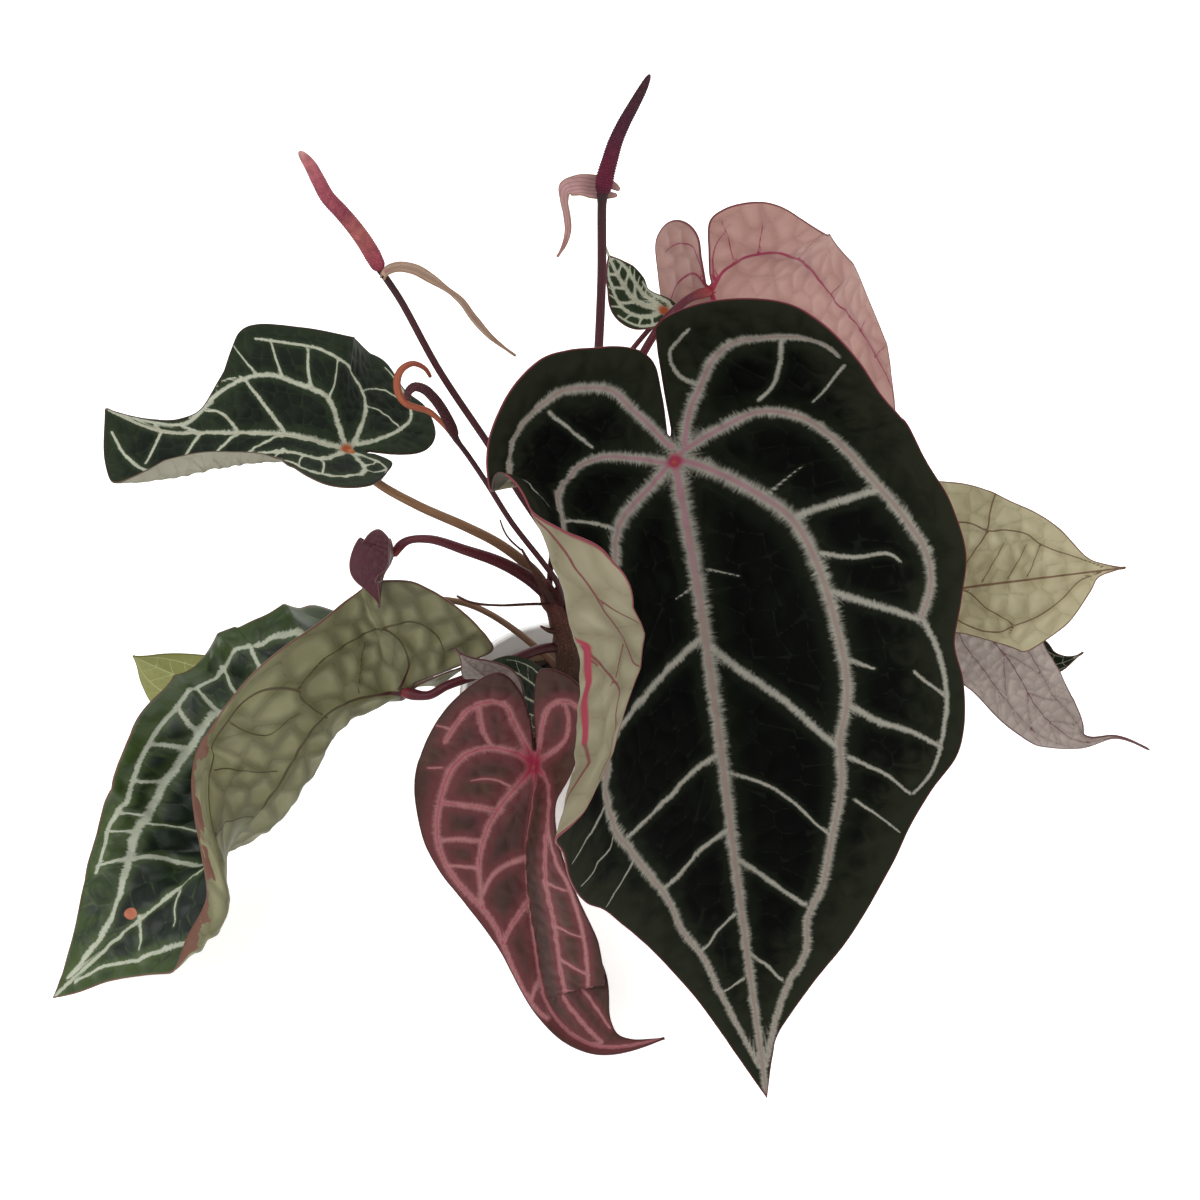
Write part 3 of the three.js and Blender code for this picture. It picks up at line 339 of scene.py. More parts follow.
def cut_blade(blade, spacing):
    """Both halves in one flat sheet, joined at the midrib."""
    sheet = bmesh.new()
    low = min(blade.half(1)[:, 0].min(), blade.half(-1)[:, 0].min())
    for side in (1, -1):
        cut_half(sheet, blade, side, spacing, low)
    middle = [v for v in sheet.verts if abs(v.co.x) < 1e-6]
    bmesh.ops.remove_doubles(sheet, verts=middle, dist=1e-3)
    return sheet

# %% [markdown]
# ## Veins
# The veins of this plant make its look: broad silvery ones on the upper side that fray
# into the velvet, thin coloured cords beneath. They are drawn as curves on the flat
# blade. Every point of the sheet then stores how far the nearest vein is, in half widths
# of that vein, and a material or a relief can read it. A distance with a sign crosses
# zero exactly at the vein, so even a vein thinner than a square comes out even.

# %% Store the veins in the sheet
FAR_AWAY = 50.0
VEIN_STEP = 2.5
NOISE_SHIFT = 37
GROOVE = 2.5
SEED_JOSTLE = 0.36
SEED_ROWS = 0.8
BATCH = 4000


def vein_field(points, veins, cored):
    """Signed and plain distance in half widths, the same to cored veins, run and groove."""
    count = len(points)
    signed, plain, thick = (np.full(count, FAR_AWAY) for _ in range(3))
    run, groove = np.zeros(count), np.zeros(count)
    for number, (wide, narrow, line) in enumerate(veins):
        curve = resample(line, VEIN_STEP)
        distance, _, turn, along = beside(points, curve)
        total = np.linalg.norm(np.diff(curve, axis=0), axis=1).sum()
        half_width = wide + (narrow - wide) * along / total
        scaled = distance / half_width
        closer = scaled < plain
        signed = np.where(closer, turn * scaled, signed)
        run = np.where(closer, along + NOISE_SHIFT * number, run)
        plain = np.where(closer, scaled, plain)
        if wide >= cored:
            thick = np.minimum(thick, scaled)
        depth = np.minimum(half_width / 4, 1)
        reach = GROOVE + 1.5 * half_width
        groove = np.maximum(groove, depth * np.exp(-(distance / reach) ** 2))
    return signed, plain, thick, run, groove


def cell_gap(points, size):
    """How much nearer the nearest seed of a jostled grid is than the next: 0 on a border."""
    chance = np.random.default_rng(11)
    low, high = points.min(0) - 2 * size, points.max(0) + 2 * size
    columns, rows = np.arange(low[0], high[0], size), np.arange(low[1], high[1], size * SEED_ROWS)
    seeds = np.stack(np.meshgrid(columns, rows), -1).reshape(-1, 2)
    seeds = seeds + chance.uniform(-SEED_JOSTLE, SEED_JOSTLE, seeds.shape) * size
    gap = np.empty(len(points))
    for start in range(0, len(points), BATCH):
        part = points[start:start + BATCH]
        distance = np.hypot(part[:, :1] - seeds[:, 0], part[:, 1:] - seeds[:, 1])
        nearest = np.partition(distance, 1, axis=1)
        gap[start:start + BATCH] = nearest[:, 1] - nearest[:, 0]
    return gap


def store(mesh, name, *columns):
    """Keep three numbers for each vertex under a name that a material can read."""
    layer = mesh.attributes.new(name, "FLOAT_VECTOR", "POINT")
    layer.data.foreach_set("vector", np.stack(columns, -1).astype(np.float32).ravel())


# %% [markdown]
# ### Where the veins run
# The midrib is straight. From the junction, a heart-shaped anthurium sends curved veins
# into both lobes, one of which turns and follows the margin to the tip. Side veins join
# it from the midrib, and short ones go on to the margin. The pattern is written for one
# half in shares: along by the blade's length (or by the lobe's depth behind the
# junction), across by the local half width, so it fits any of the blades.

# %% The pattern of one half
HALF_VEINS = [
    (3.6, 1.4, [(0, 0), (0.06, 0.23), (0.125, 0.41), (0.23, 0.48), (0.34, 0.54), (0.5, 0.53),
                (0.65, 0.57), (0.8, 0.58), (0.94, 0.35)]),
    (3.2, 1.2, [(-0.04, 0.03), (-0.19, 0.29), (-0.24, 0.43), (-0.19, 0.58), (-0.05, 0.66),
                (0.05, 0.73), (0.12, 0.78), (0.2, 0.83), (0.28, 0.84), (0.38, 0.86)]),
    (2.8, 1.0, [(-0.08, 0.06), (-0.3, 0.12), (-0.6, 0.28), (-0.75, 0.55), (-0.72, 0.8),
                (-0.55, 0.9)]),
    (2.2, 1.6, [(0.26, 0), (0.33, 0.2), (0.41, 0.45), (0.44, 0.53)]),
    (2.0, 1.4, [(0.45, 0), (0.52, 0.27), (0.58, 0.56)]),
    (1.7, 1.2, [(0.6, 0), (0.66, 0.3), (0.7, 0.56)]),
    (1.4, 1.0, [(0.76, 0), (0.8, 0.5)]),
    (1.2, 0.8, [(-0.6, 0.3), (-0.4, 0.42), (-0.24, 0.43)]),
    (1.2, 0.8, [(-0.7, 0.66), (-0.45, 0.64), (-0.2, 0.56)]),
    (1.4, 0.9, [(0.12, 0.41), (0.11, 0.56), (0.12, 0.78)]),
    (1.4, 0.9, [(0.19, 0.46), (0.21, 0.62), (0.22, 0.83)]),
    (1.4, 0.8, [(0.28, 0.5), (0.31, 0.68), (0.33, 0.86)]),
    (1.2, 0.6, [(0.38, 0.55), (0.43, 0.7), (0.47, 0.88)]),
    (1.0, 0.5, [(0.46, 0.54), (0.52, 0.7), (0.57, 0.88)]),
    (1.0, 0.5, [(0.55, 0.55), (0.6, 0.72), (0.65, 0.9)]),
]


def pattern(blade, scale=1.0):
    """The whole vein pattern of a blade, as (width, end width, points) lines."""
    lines = [(5.0 * scale, 1.2 * scale, [(0, 0), (0, blade.length * 0.5), (0, blade.length)])]
    for side in (1, -1):
        edge = blade.edge(side)
        lobe = -edge[:, 1].min()
        order = np.argsort(edge[:, 1])
        levels = edge[order, 1]
        widest = np.array([edge[np.abs(edge[:, 1] - level) < 4, 0].max() for level in levels])
        for wide, narrow, shares in HALF_VEINS:
            line = []
            for along, out in shares:
                level = along * (blade.length if along > 0 else lobe)
                line.append((side * out * np.interp(level, levels, widest), level))
            lines.append((wide * scale, narrow * scale, line))
    return lines


print(f"{len(HALF_VEINS)} veins in each half of the pattern")


# %% [markdown]
# ### The veins of the large blades
# On the large blades the eye compares each vein with the plant, so a pattern in shares
# would not do, and their veins are curves of their own. Each is written as half width at
# its start and at its end, then points across and along the flat blade in millimetres.
# Six are under the folded flap of the great blade, where only their cords show.

# %% The veins of the great blade
GREAT_VEINS = [
    (6.4, 2.4, [(0, 0), (0, 200), (0, 395)]),
    (4.6, 3.4, [(4, -4), (37, -18), (54, -23), (73, -18), (86, -6), (98, 18), (108, 38), (121, 58),
                (130, 76), (130, 92), (122, 109)]),
    (2.1, 1.1, [(122, 109), (128, 127), (130, 146), (128, 164), (118, 194), (106, 206)]),
    (5.6, 2.2, [(2, 0), (16, 7), (49, 36), (60, 49), (67, 66), (72, 90), (76, 133), (74, 152), (68, 170),
                (66, 196), (56, 232), (49, 256), (38, 277), (34, 300), (22, 318), (13, 338), (2, 372)]),
    (4.8, 1.8, [(7, -8), (14, -29), (22, -42), (32, -58), (44, -68), (60, -72), (94, -71), (106, -60)]),
    (1.9, 1.0, [(24, -42), (10, -53), (8, -64), (14, -71), (22, -78)]),
    (1.8, 1.4, [(76, -72), (66, -42), (56, -32)]),
    (1.3, 0.8, [(108, -53), (94, -35), (86, -26)]),
    (2.4, 1.9, [(61, 48), (80, 46), (112, 44)]),
    (1.6, 1.0, [(72, 68), (90, 73), (109, 74), (115, 79)]),
    (2.6, 2.1, [(72, 88), (90, 96), (108, 104), (120, 110)]),
    (1.6, 0.8, [(80, 127), (92, 133)]),
    (1.3, 1.0, [(114, 138), (128, 152)]),
    (2.4, 1.4, [(76, 152), (92, 163), (108, 170), (124, 181)]),
    (1.6, 1.0, [(72, 181), (90, 192), (104, 206)]),
    (1.1, 0.6, [(73, 206), (86, 218), (96, 228)]),
    (0.8, 0.5, [(50, 32), (73, 22)]),
    (0.7, 0.4, [(8, 66), (25, 73)]),
    (0.7, 0.4, [(0, 74), (-18, 80)]),
    (2.9, 2.4, [(2, 109), (14, 122), (30, 136), (46, 152), (60, 168), (66, 175)]),
    (1.3, 1.0, [(4, 184), (19, 190), (34, 200), (49, 218), (56, 226)]),
    (2.1, 1.6, [(1, 236), (13, 246), (28, 260), (37, 268)]),
    (1.4, 1.1, [(1, 296), (13, 308), (18, 316)]),
    (4.6, 3.0, [(-1, 2), (-26, -6), (-48, -12), (-68, -8), (-86, 16), (-102, 43), (-112, 80)]),
    (4.4, 1.6, [(0, -8), (-22, -38), (-32, -52), (-50, -60), (-70, -64), (-102, -54), (-113, -42),
                (-119, -23), (-123, 0), (-126, 20), (-116, 40)]),
    (1.6, 1.3, [(-78, -56), (-64, -36), (-54, -22)]),
    (5.0, 3.6, [(-4, 2), (-23, 18), (-46, 38), (-58, 54), (-72, 90), (-90, 133), (-98, 160)]),
    (4.2, 1.8, [(-100, 154), (-95, 172), (-86, 190), (-73, 206), (-47, 247), (-40, 268), (-28, 290),
                (-20, 316), (-2, 372)]),
    (2.7, 2.4, [(-2, 104), (-26, 114), (-52, 126), (-72, 134), (-94, 145), (-100, 154)]),
    (2.2, 1.8, [(0, 172), (-18, 175), (-46, 186), (-76, 196)]),
    (2.1, 1.6, [(-2, 218), (-24, 224), (-41, 234), (-54, 238)]),
    (1.4, 1.1, [(-5, 270), (-18, 277), (-29, 286)]),
    (1.1, 0.8, [(-5, 312), (-17, 316)]),
    (1.4, 0.8, [(-54, 44), (-74, 43), (-104, 46)]),
    (1.1, 0.6, [(-98, 172), (-115, 180), (-132, 190)]),
    (1.0, 0.6, [(-86, 190), (-104, 200), (-118, 208)]),
    (1.0, 0.6, [(-70, 210), (-84, 222), (-94, 232)]),
    (4.6, 3.6, [(-133, 92), (-134, 104), (-136, 115), (-141, 124), (-146, 133)]),
    (2.6, 1.4, [(-152, 52), (-158, 60), (-161, 66), (-160, 77), (-157, 94), (-150, 112)]),
    (2.4, 1.2, [(-131, 94), (-142, 105), (-160, 117), (-169, 137), (-174, 149)]),
    (2.4, 1.2, [(-146, 133), (-158, 148), (-164, 161)]),
    (2.0, 1.0, [(-160, 77), (-170, 84), (-178, 90)]),
    (2.0, 1.0, [(-157, 94), (-166, 104), (-176, 108)]),
]
print(f"{len(GREAT_VEINS)} veins on the great blade")

# %% [markdown]
# ### Left, red, pink and pale blades
# These were traced in the same way. The left blade shows its upper side beyond the fold,
# so its veins are dense there. The pink and the pale blade show their undersides, where
# only the larger cords can be made out.

# %% The veins of the other large blades
LEFT_VEINS = [
    (2.4, 1.3, [(0, 0), (6, 40), (3, 90), (0, 150), (0, 214), (0, 303)]),
    (4.0, 1.8, [(0, 0), (-50, 8), (-90, 45), (-112, 90), (-115, 115), (-106, 132), (-92, 161), (-65, 192),
                (-43, 210), (-20, 231), (-10, 247), (-5, 269), (-3, 287)]),
    (2.4, 1.1, [(-60, 0), (-100, 20), (-122, 52), (-140, 80), (-142, 106), (-134, 124), (-127, 138),
                (-121, 150), (-108, 168), (-93, 183), (-76, 198), (-64, 210), (-52, 220), (-43, 231)]),
    (1.9, 1.4, [(-100, 58), (-122, 52)]),
    (1.9, 1.4, [(-114, 86), (-140, 76)]),
    (1.9, 1.4, [(-118, 104), (-141, 103)]),
    (1.8, 1.4, [(-112, 126), (-135, 124)]),
    (1.9, 1.4, [(-106, 137), (-122, 148)]),
    (1.8, 1.4, [(-93, 159), (-106, 171)]),
    (1.6, 1.2, [(-76, 182), (-77, 197)]),
    (1.1, 0.8, [(-60, 197), (-63, 209)]),
    (1.4, 1.0, [(-42, 211), (-46, 228)]),
    (2.7, 1.9, [(2, 146), (-20, 178), (-38, 200), (-40, 210)]),
    (1.3, 0.6, [(-68, 188), (-50, 168), (-30, 160)]),
    (1.6, 1.1, [(-2, 224), (10, 228), (18, 232)]),
    (2.2, 1.0, [(44, 196), (33, 211), (24, 234), (10, 258), (3, 284)]),
    (1.0, 0.5, [(2, 192), (12, 199), (22, 206)]),
    (2.1, 1.0, [(3, 0), (16, -12), (34, -12), (44, -2), (40, 34), (36, 46), (31, 54), (14, 54), (4, 51)]),
    (1.8, 1.0, [(31, 54), (45, 61), (52, 71), (53, 83), (54, 97), (50, 114), (49, 137), (40, 170),
                (44, 196)]),
    (1.8, 0.8, [(44, -2), (40, -29), (28, -36), (14, -36), (5, -28)]),
    (1.3, 0.6, [(15, -39), (16, -50), (20, -62)]),
    (1.3, 1.0, [(53, 81), (38, 81), (25, 77), (22, 66), (19, 60)]),
    (1.4, 1.0, [(8, 94), (26, 103), (48, 114)]),
    (1.4, 1.0, [(1, 126), (19, 130), (48, 137)]),
    (1.3, 0.8, [(38, 18), (23, 24), (8, 28)]),
]
RED_VEINS = [
    (3.0, 1.2, [(0, 0), (6, 26), (3, 60), (1, 90), (0, 130), (0, 180), (0, 240)]),
    (3.2, 1.6, [(2, 0), (21, 3), (33, 14), (37, 28), (36, 56), (34, 90), (29, 115), (25, 144), (12, 181),
                (3, 205)]),
    (2.0, 1.2, [(37, 28), (46, 48), (53, 62), (54, 80), (51, 104), (46, 130), (36, 160), (24, 188),
                (12, 210)]),
    (1.5, 1.0, [(34, 64), (51, 67)]),
    (1.5, 1.0, [(34, 94), (50, 103)]),
    (1.5, 1.0, [(30, 116), (48, 125)]),
    (1.5, 1.0, [(26, 140), (40, 152)]),
    (4.0, 1.8, [(0, 0), (-9, -7), (-20, -11), (-32, -11), (-43, -5), (-51, 9), (-55, 24), (-57, 43),
                (-55, 54), (-49, 66), (-40, 77), (-30, 88), (-23, 100), (-20, 112), (-12, 140), (-5, 160)]),
    (3.6, 1.8, [(0, 0), (-5, 8), (-12, 19), (-19, 31), (-25, 45), (-29, 62), (-29, 88)]),
    (2.6, 1.8, [(-18, 32), (-37, 32), (-55, 33)]),
    (1.8, 1.2, [(-28, 50), (-42, 50), (-56, 52)]),
    (1.6, 1.0, [(-29, 65), (-40, 64), (-50, 64)]),
    (1.4, 0.7, [(-14, 16), (-26, 13), (-38, 16)]),
    (2.4, 1.6, [(1, 58), (-12, 63), (-21, 69), (-28, 80)]),
    (2.8, 1.6, [(2, 84), (-7, 94), (-15, 103), (-20, 112)]),
    (2.2, 1.2, [(0, 134), (-7, 143), (-11, 150)]),
    (3.6, 2.2, [(0, 0), (-6, -15), (-12, -32), (-16, -46), (-26, -49), (-37, -45), (-47, -32), (-55, -16)]),
    (2.8, 2.0, [(-32, -46), (-31, -26), (-26, -13)]),
    (3.4, 1.8, [(0, 0), (5, -18), (7, -32), (11, -44), (20, -49), (31, -46)]),
    (2.8, 1.6, [(0, 0), (16, -16), (25, -28), (25, -38), (22, -47)]),
    (1.4, 0.8, [(-58, 10), (-66, 12)]),
    (1.4, 0.8, [(-50, -28), (-60, -32)]),
]
PINK_VEINS = [
    (3.6, 1.4, [(0, 0), (0, 120), (0, 240)]),
    (4.2, 1.6, [(0, -1), (-8, -9), (-19, -14), (-32, -15), (-46, -10), (-62, 13), (-73, 37), (-80, 60),
                (-92, 90), (-95, 112), (-92, 137), (-86, 156)]),
    (1.8, 0.9, [(-62, 13), (-68, 4), (-73, -8), (-79, -15)]),
    (1.8, 0.9, [(-32, -15), (-36, -24), (-38, -35), (-38, -46)]),
    (1.6, 0.9, [(-17, -14), (-17, -22), (-16, -31), (-13, -42)]),
    (3.0, 1.0, [(0, -1), (-3, -8), (-5, -21), (-9, -29), (-18, -38)]),
    (1.8, 0.9, [(-80, 58), (-91, 60), (-108, 59)]),
    (1.8, 0.9, [(-94, 104), (-112, 106)]),
    (1.6, 0.9, [(-93, 126), (-110, 130)]),
    (3.6, 1.2, [(0, -2), (8, -11), (18, -9), (30, -2), (40, 10)]),
    (3.0, 1.0, [(0, -2), (2, -13), (5, -23), (12, -28), (24, -27), (38, -20)]),
]
PALE_VEINS = [
    (3.2, 1.6, [(0, 0), (0, 57), (0, 105), (0, 152)]),
    (2.2, 1.2, [(0, 0), (-26, 8), (-40, 34), (-40, 61), (-33, 73), (-32, 84), (-28, 96), (-20, 105),
                (-9, 126), (-2, 140)]),
    (1.8, 1.2, [(-56, 81), (-45, 76), (-33, 73), (-22, 64), (-8, 52)]),
    (1.8, 1.2, [(0, 50), (4, 58), (14, 66), (24, 79), (27, 82)]),
    (1.8, 1.2, [(16, 44), (26, 57), (30, 72), (27, 82), (23, 97), (14, 113), (5, 124), (1, 138)]),
    (1.2, 0.8, [(27, 82), (32, 78)]),
    (1.2, 0.8, [(-2, 66), (-10, 72), (-24, 82)]),
    (1.2, 0.8, [(-2, 82), (-10, 88), (-22, 96)]),
    (1.2, 0.8, [(-2, 94), (-9, 98), (-20, 104)]),
]
print(f"{sum(map(len, (LEFT_VEINS, RED_VEINS, PINK_VEINS, PALE_VEINS)))} veins on four more")

# %% [markdown]
# ## Making a blade
# The trimmed sheet is carried into space point by point. The blade rises a little
# between its veins, as a quilted leaf does, and that relief is real shape. A Solidify
# modifier then gives the sheet its thickness, with a second material for the underside.

# %% Build one blade
PILLOW_EDGE = 0.45
FLAT_RIM = 8
PILLOW_SHARE = 0.8


def build_blade(name, facts, spacing, skins, veins, relief, cell=12.0, cored=0.0):
    """A blade as an object in its place."""
    blade = Blade(facts)
    sheet = cut_blade(blade, spacing)
    mesh = bpy.data.meshes.new(name)
    sheet.to_mesh(mesh)
    sheet.free()
    flat = np.array([v.co.xy for v in mesh.vertices])
    loops = [blade.edge(1), blade.edge(-1) * [-1, 1]]
    margin = np.minimum(*[beside(flat, loop)[0] for loop in loops])
    signed, plain, thick, run, groove = vein_field(flat, veins, cored)
    gap = cell_gap(flat, cell)
    pillow = 1 - np.exp(-(gap / (PILLOW_EDGE * cell)) ** 2)
    pillow = pillow * np.minimum(margin / FLAT_RIM, 1)
    lift = relief * (PILLOW_SHARE * pillow - groove)
    spots = blade.place(flat[:, 0], flat[:, 1], lift)
    mesh.vertices.foreach_set("co", (spots * MM).astype(np.float32).ravel())
    store(mesh, "vein", signed, plain, thick)
    store(mesh, "place", margin, np.hypot(*flat.T), run)
    store(mesh, "flat", flat[:, 0], flat[:, 1], gap)
    for skin in skins:
        mesh.materials.append(skin)
    mesh.shade_smooth()
    piece = bpy.data.objects.new(name, mesh)
    bpy.context.scene.collection.objects.link(piece)
    body = piece.modifiers.new("thickness", "SOLIDIFY")
    body.thickness = facts["thick"] * MM
    body.offset = 0
    body.material_offset = 1
    body.material_offset_rim = 1
    print(f"{name}: {len(mesh.polygons)} squares of {spacing} mm")
    return piece


# %% [markdown]
# ## Skins of the blades
# A velvet blade is dark because its upper cells are small cones that trap light, and its
# veins look silvery where those cones are missing. So the ground is nearly black-green
# and rough, with a faint sheen painted into its colour towards the margin, and the veins
# are pale, a little pink at their core. One function builds such a skin from its colours,
# and undersides use it as well.

# %% Usual values of a skin
# The pillow highlight and the crease shade are painted light and shade, off unless a skin sets them
SHADES = {
    "halo": 0.3, "halo_reach": 4.0, "halo_tone": "3a3a30", "core_far": None,
    "net": 0.15, "net_and_crease_shade_tone": "3a3a30", "margin_tone_and_sheen": None, "edge": 0.7, "edge_reach": 30.0,
    "rim_ragged": 0.0, "ragged_from": -200.0, "spots": (), "crease_shade": 0.0, "crease_shade_reach": 4.5,
    "pillow_highlight": 0.0, "pillow_highlight_tone": "8a8a70", "slack": 0.3, "specular": 0.3,
    "sheen_tint": "cfd3c4", "sunken": True, "fray_length": 0.5,
}
SPOT_EDGE = 0.4
SPOT_STRENGTH = 0.8
FIELDS = (
    ("vein", ("signed", "plain", "cored")),
    ("place", ("margin", "heart", "run")),
    ("flat", ("across", "along", "gap")),
)
print(f"{len(SHADES)} values that a skin may leave as they are")

# %% [markdown]
# ### Layers of colour
# A leaf's colour is easiest to think of as coats of paint. The ground comes first, then
# a band along the margin, greener on some blades and painted sheen on the velvet skin,
# the green beside the veins, a painted highlight on the tops of the quilted pillows,
# painted shade in the creases between them, the net of fine veins, the silver, the pink
# cords, the red star and last the dried rim. Each coat is strongest at one distance and
# gone at another.

# %% Build a skin from its colours
def blade_skin(name, look):
    """A node material for one side of a blade, built up as layers of colour."""
    look = {**SHADES, **look}
    skin, tree = new_finish(name)
    field = {}
    for attribute, parts in FIELDS:
        stored = put(tree, "Attribute", attribute_name=attribute).outputs["Vector"]
        field[attribute] = stored
        field.update(zip(parts, put(tree, "SeparateXYZ", {0: stored}).outputs))
    flat = field["flat"]
    patches = put(tree, "TexNoise", {"Vector": flat, "Scale": 0.07, "Detail": 3.0}).outputs[0]
    grain = put(tree, "TexNoise", {"Vector": flat, "Scale": 0.8, "Detail": 5.0, "Roughness": 0.7})
    grain = grain.outputs[0]
    cloud = put(tree, "TexNoise", {"Vector": flat, "Scale": 0.035, "Detail": 4.0}).outputs[0]

    # Distance from a vein that crosses zero at a vein, and a little slack between veins
    size = put(tree, "Math", {0: field["signed"]}, operation="ABSOLUTE").outputs[0]
    lowered = put(tree, "Math", {0: field["plain"], 1: look["slack"]}, operation="SUBTRACT").outputs[0]
    distance = put(tree, "Math", {0: size, 1: lowered}, operation="MAXIMUM").outputs[0]

    # Silvery threads that stand square to the vein
    threads = put(tree, "CombineXYZ", {0: field["run"], 1: field["signed"]}).outputs[0]
    threads = put(tree, "Mapping", {0: threads, "Scale": (0.65, look["fray_length"], 1)}).outputs[0]
    threads = put(tree, "TexNoise", {"Vector": threads, "Scale": 1.0, "Detail": 6.0, "Roughness": 0.78})
    threads = threads.outputs[0]
    short, long = 0.35 * look["fray"], 1.65 * look["fray"]
    length = put(tree, "MapRange", {0: patches, 1: 0.3, 2: 0.7, 3: short, 4: long})
    fray = put(tree, "Math", {0: threads, 1: 0.56}, operation="SUBTRACT").outputs[0]
    fray = put(tree, "Math", {0: fray, 1: length.outputs[0], 2: distance}, operation="MULTIPLY_ADD")
    fray = fray.outputs[0]
    full, none = look["reach"]
    pale = put(tree, "MapRange", {0: fray, 1: full, 2: none, 3: 1.0, 4: 0.0},
               interpolation_type="SMOOTHSTEP")
    pale = pale.outputs[0]
    veil = put(tree, "MapRange", {0: grain, 1: 0.3, 2: 0.65, 3: 0.72, 4: 1.0}).outputs[0]
    silvered = put(tree, "Math", {0: pale, 1: veil}, operation="MULTIPLY").outputs[0]

    # The pink of the veins fades away from the junction, where a star of red remains
    near = put(tree, "MapRange", {0: field["heart"], 1: 12.0, 2: 110.0, 3: 1.0, 4: 0.0}).outputs[0]
    far_tone = look["core_far"] or look["core"]
    core = put(tree, "Mix", {0: near, 6: far_tone, 7: look["core"]}, data_type="RGBA")
    full, none = look["heart_reach"]
    star = put(tree, "MapRange", {0: field["heart"], 1: full, 2: none, 3: 1.0, 4: 0.0}).outputs[0]
    star = put(tree, "Math", {0: star, 1: pale}, operation="MULTIPLY").outputs[0]

    # The rim is dried in patches where the look says so
    shift = look["rim_ragged"]
    start = look["ragged_from"]
    ragged = put(tree, "MapRange", {0: patches, 1: 0.35, 2: 0.65, 3: 0.0, 4: -shift}).outputs[0]
    dried = put(tree, "MapRange", {0: field["along"], 1: start, 2: start + 30, 3: 0.0, 4: 1.0}).outputs[0]
    rim = put(tree, "Math", {0: ragged, 1: dried, 2: field["margin"]}, operation="MULTIPLY_ADD").outputs[0]
    # A band along the margin, ruffled in patches; on the velvet skin its colour is painted sheen
    ruffle = put(tree, "MapRange", {0: patches, 1: 0.3, 2: 0.7, 3: -12.0, 4: 12.0}).outputs[0]
    inward = put(tree, "Math", {0: field["margin"], 1: ruffle}, operation="ADD").outputs[0]

    # Each layer is whole at one value, gone at the next, and has a strength and a colour
    layers = [
        (inward, 0.0, look["edge_reach"], look["edge"], look["margin_tone_and_sheen"] or look["ground"][1][1]),
        (distance, 0.8, look["halo_reach"], look["halo"], look["halo_tone"]),
        # Painted highlight on the tops of the quilted pillows, and painted shade in the creases between them
        (field["gap"], 9.0, 3.0, look["pillow_highlight"], look["pillow_highlight_tone"]),
        (field["gap"], 0.0, look["crease_shade_reach"], look["crease_shade"], look["net_and_crease_shade_tone"]),
        (field["gap"], 0.2, 1.3, look["net"], look["net_and_crease_shade_tone"]),
        (silvered, 1.0, 0.0, 1.0, look["silver"]),
        (field["cored"], *look["core_reach"], 1.0, core.outputs[2]),
        (star, 1.0, 0.0, 1.0, look["heart"]),
        (rim, 0.4, look["rim_reach"], 1.0, look["rim"]),
    ]
    for across, along, radius, colour in look["spots"]:
        away = put(tree, "VectorMath", {0: flat, 1: (across, along, 0)}, operation="SUBTRACT")
        away = put(tree, "VectorMath", {0: away.outputs[0], 1: (1, 1, 0)}, operation="MULTIPLY")
        away = put(tree, "VectorMath", {0: away.outputs[0]}, operation="LENGTH").outputs["Value"]
        layers.append((away, radius - SPOT_EDGE, radius + SPOT_EDGE, SPOT_STRENGTH, colour))
    tone = put(tree, "ValToRGB", {0: cloud}, stops=look["ground"]).outputs[0]
    for value, full, none, strength, colour in layers:
        amount = put(tree, "MapRange", {0: value, 1: full, 2: none, 3: strength, 4: 0.0},
                     interpolation_type="SMOOTHSTEP").outputs[0]
        tone = put(tree, "Mix", {0: amount, 6: tone, 7: colour}, data_type="RGBA").outputs[2]

    relief = put(tree, "Math", {0: grain, 1: 0.35, 2: pale}, operation="MULTIPLY_ADD").outputs[0]
    bump = put(tree, "Bump", {"Strength": look["bump"], "Distance": 0.0006, "Height": relief},
               invert=look["sunken"]).outputs[0]
    shader = put(tree, "BsdfPrincipled", {
        "Base Color": tone, "Roughness": look["roughness"], "IOR": 1.45,
        "Specular IOR Level": look["specular"], "Sheen Weight": look["sheen"],
        "Sheen Roughness": 0.4, "Sheen Tint": look["sheen_tint"], "Normal": bump,
    }).outputs[0]
    put(tree, "OutputMaterial", {"Surface": shader})
    return skin


# %% [markdown]
# ## The twelve blades
# Every blade is written down as it hangs on this plant: the knots of its midrib run from
# just behind the junction to the tip, face is the way its upper side looks at each knot,
# and cup and curl give the left and the right half in degrees. Outlines run from the tip
# back to the junction, as distance along and across. A petiole is a route from the stem
# with its radius at both ends.

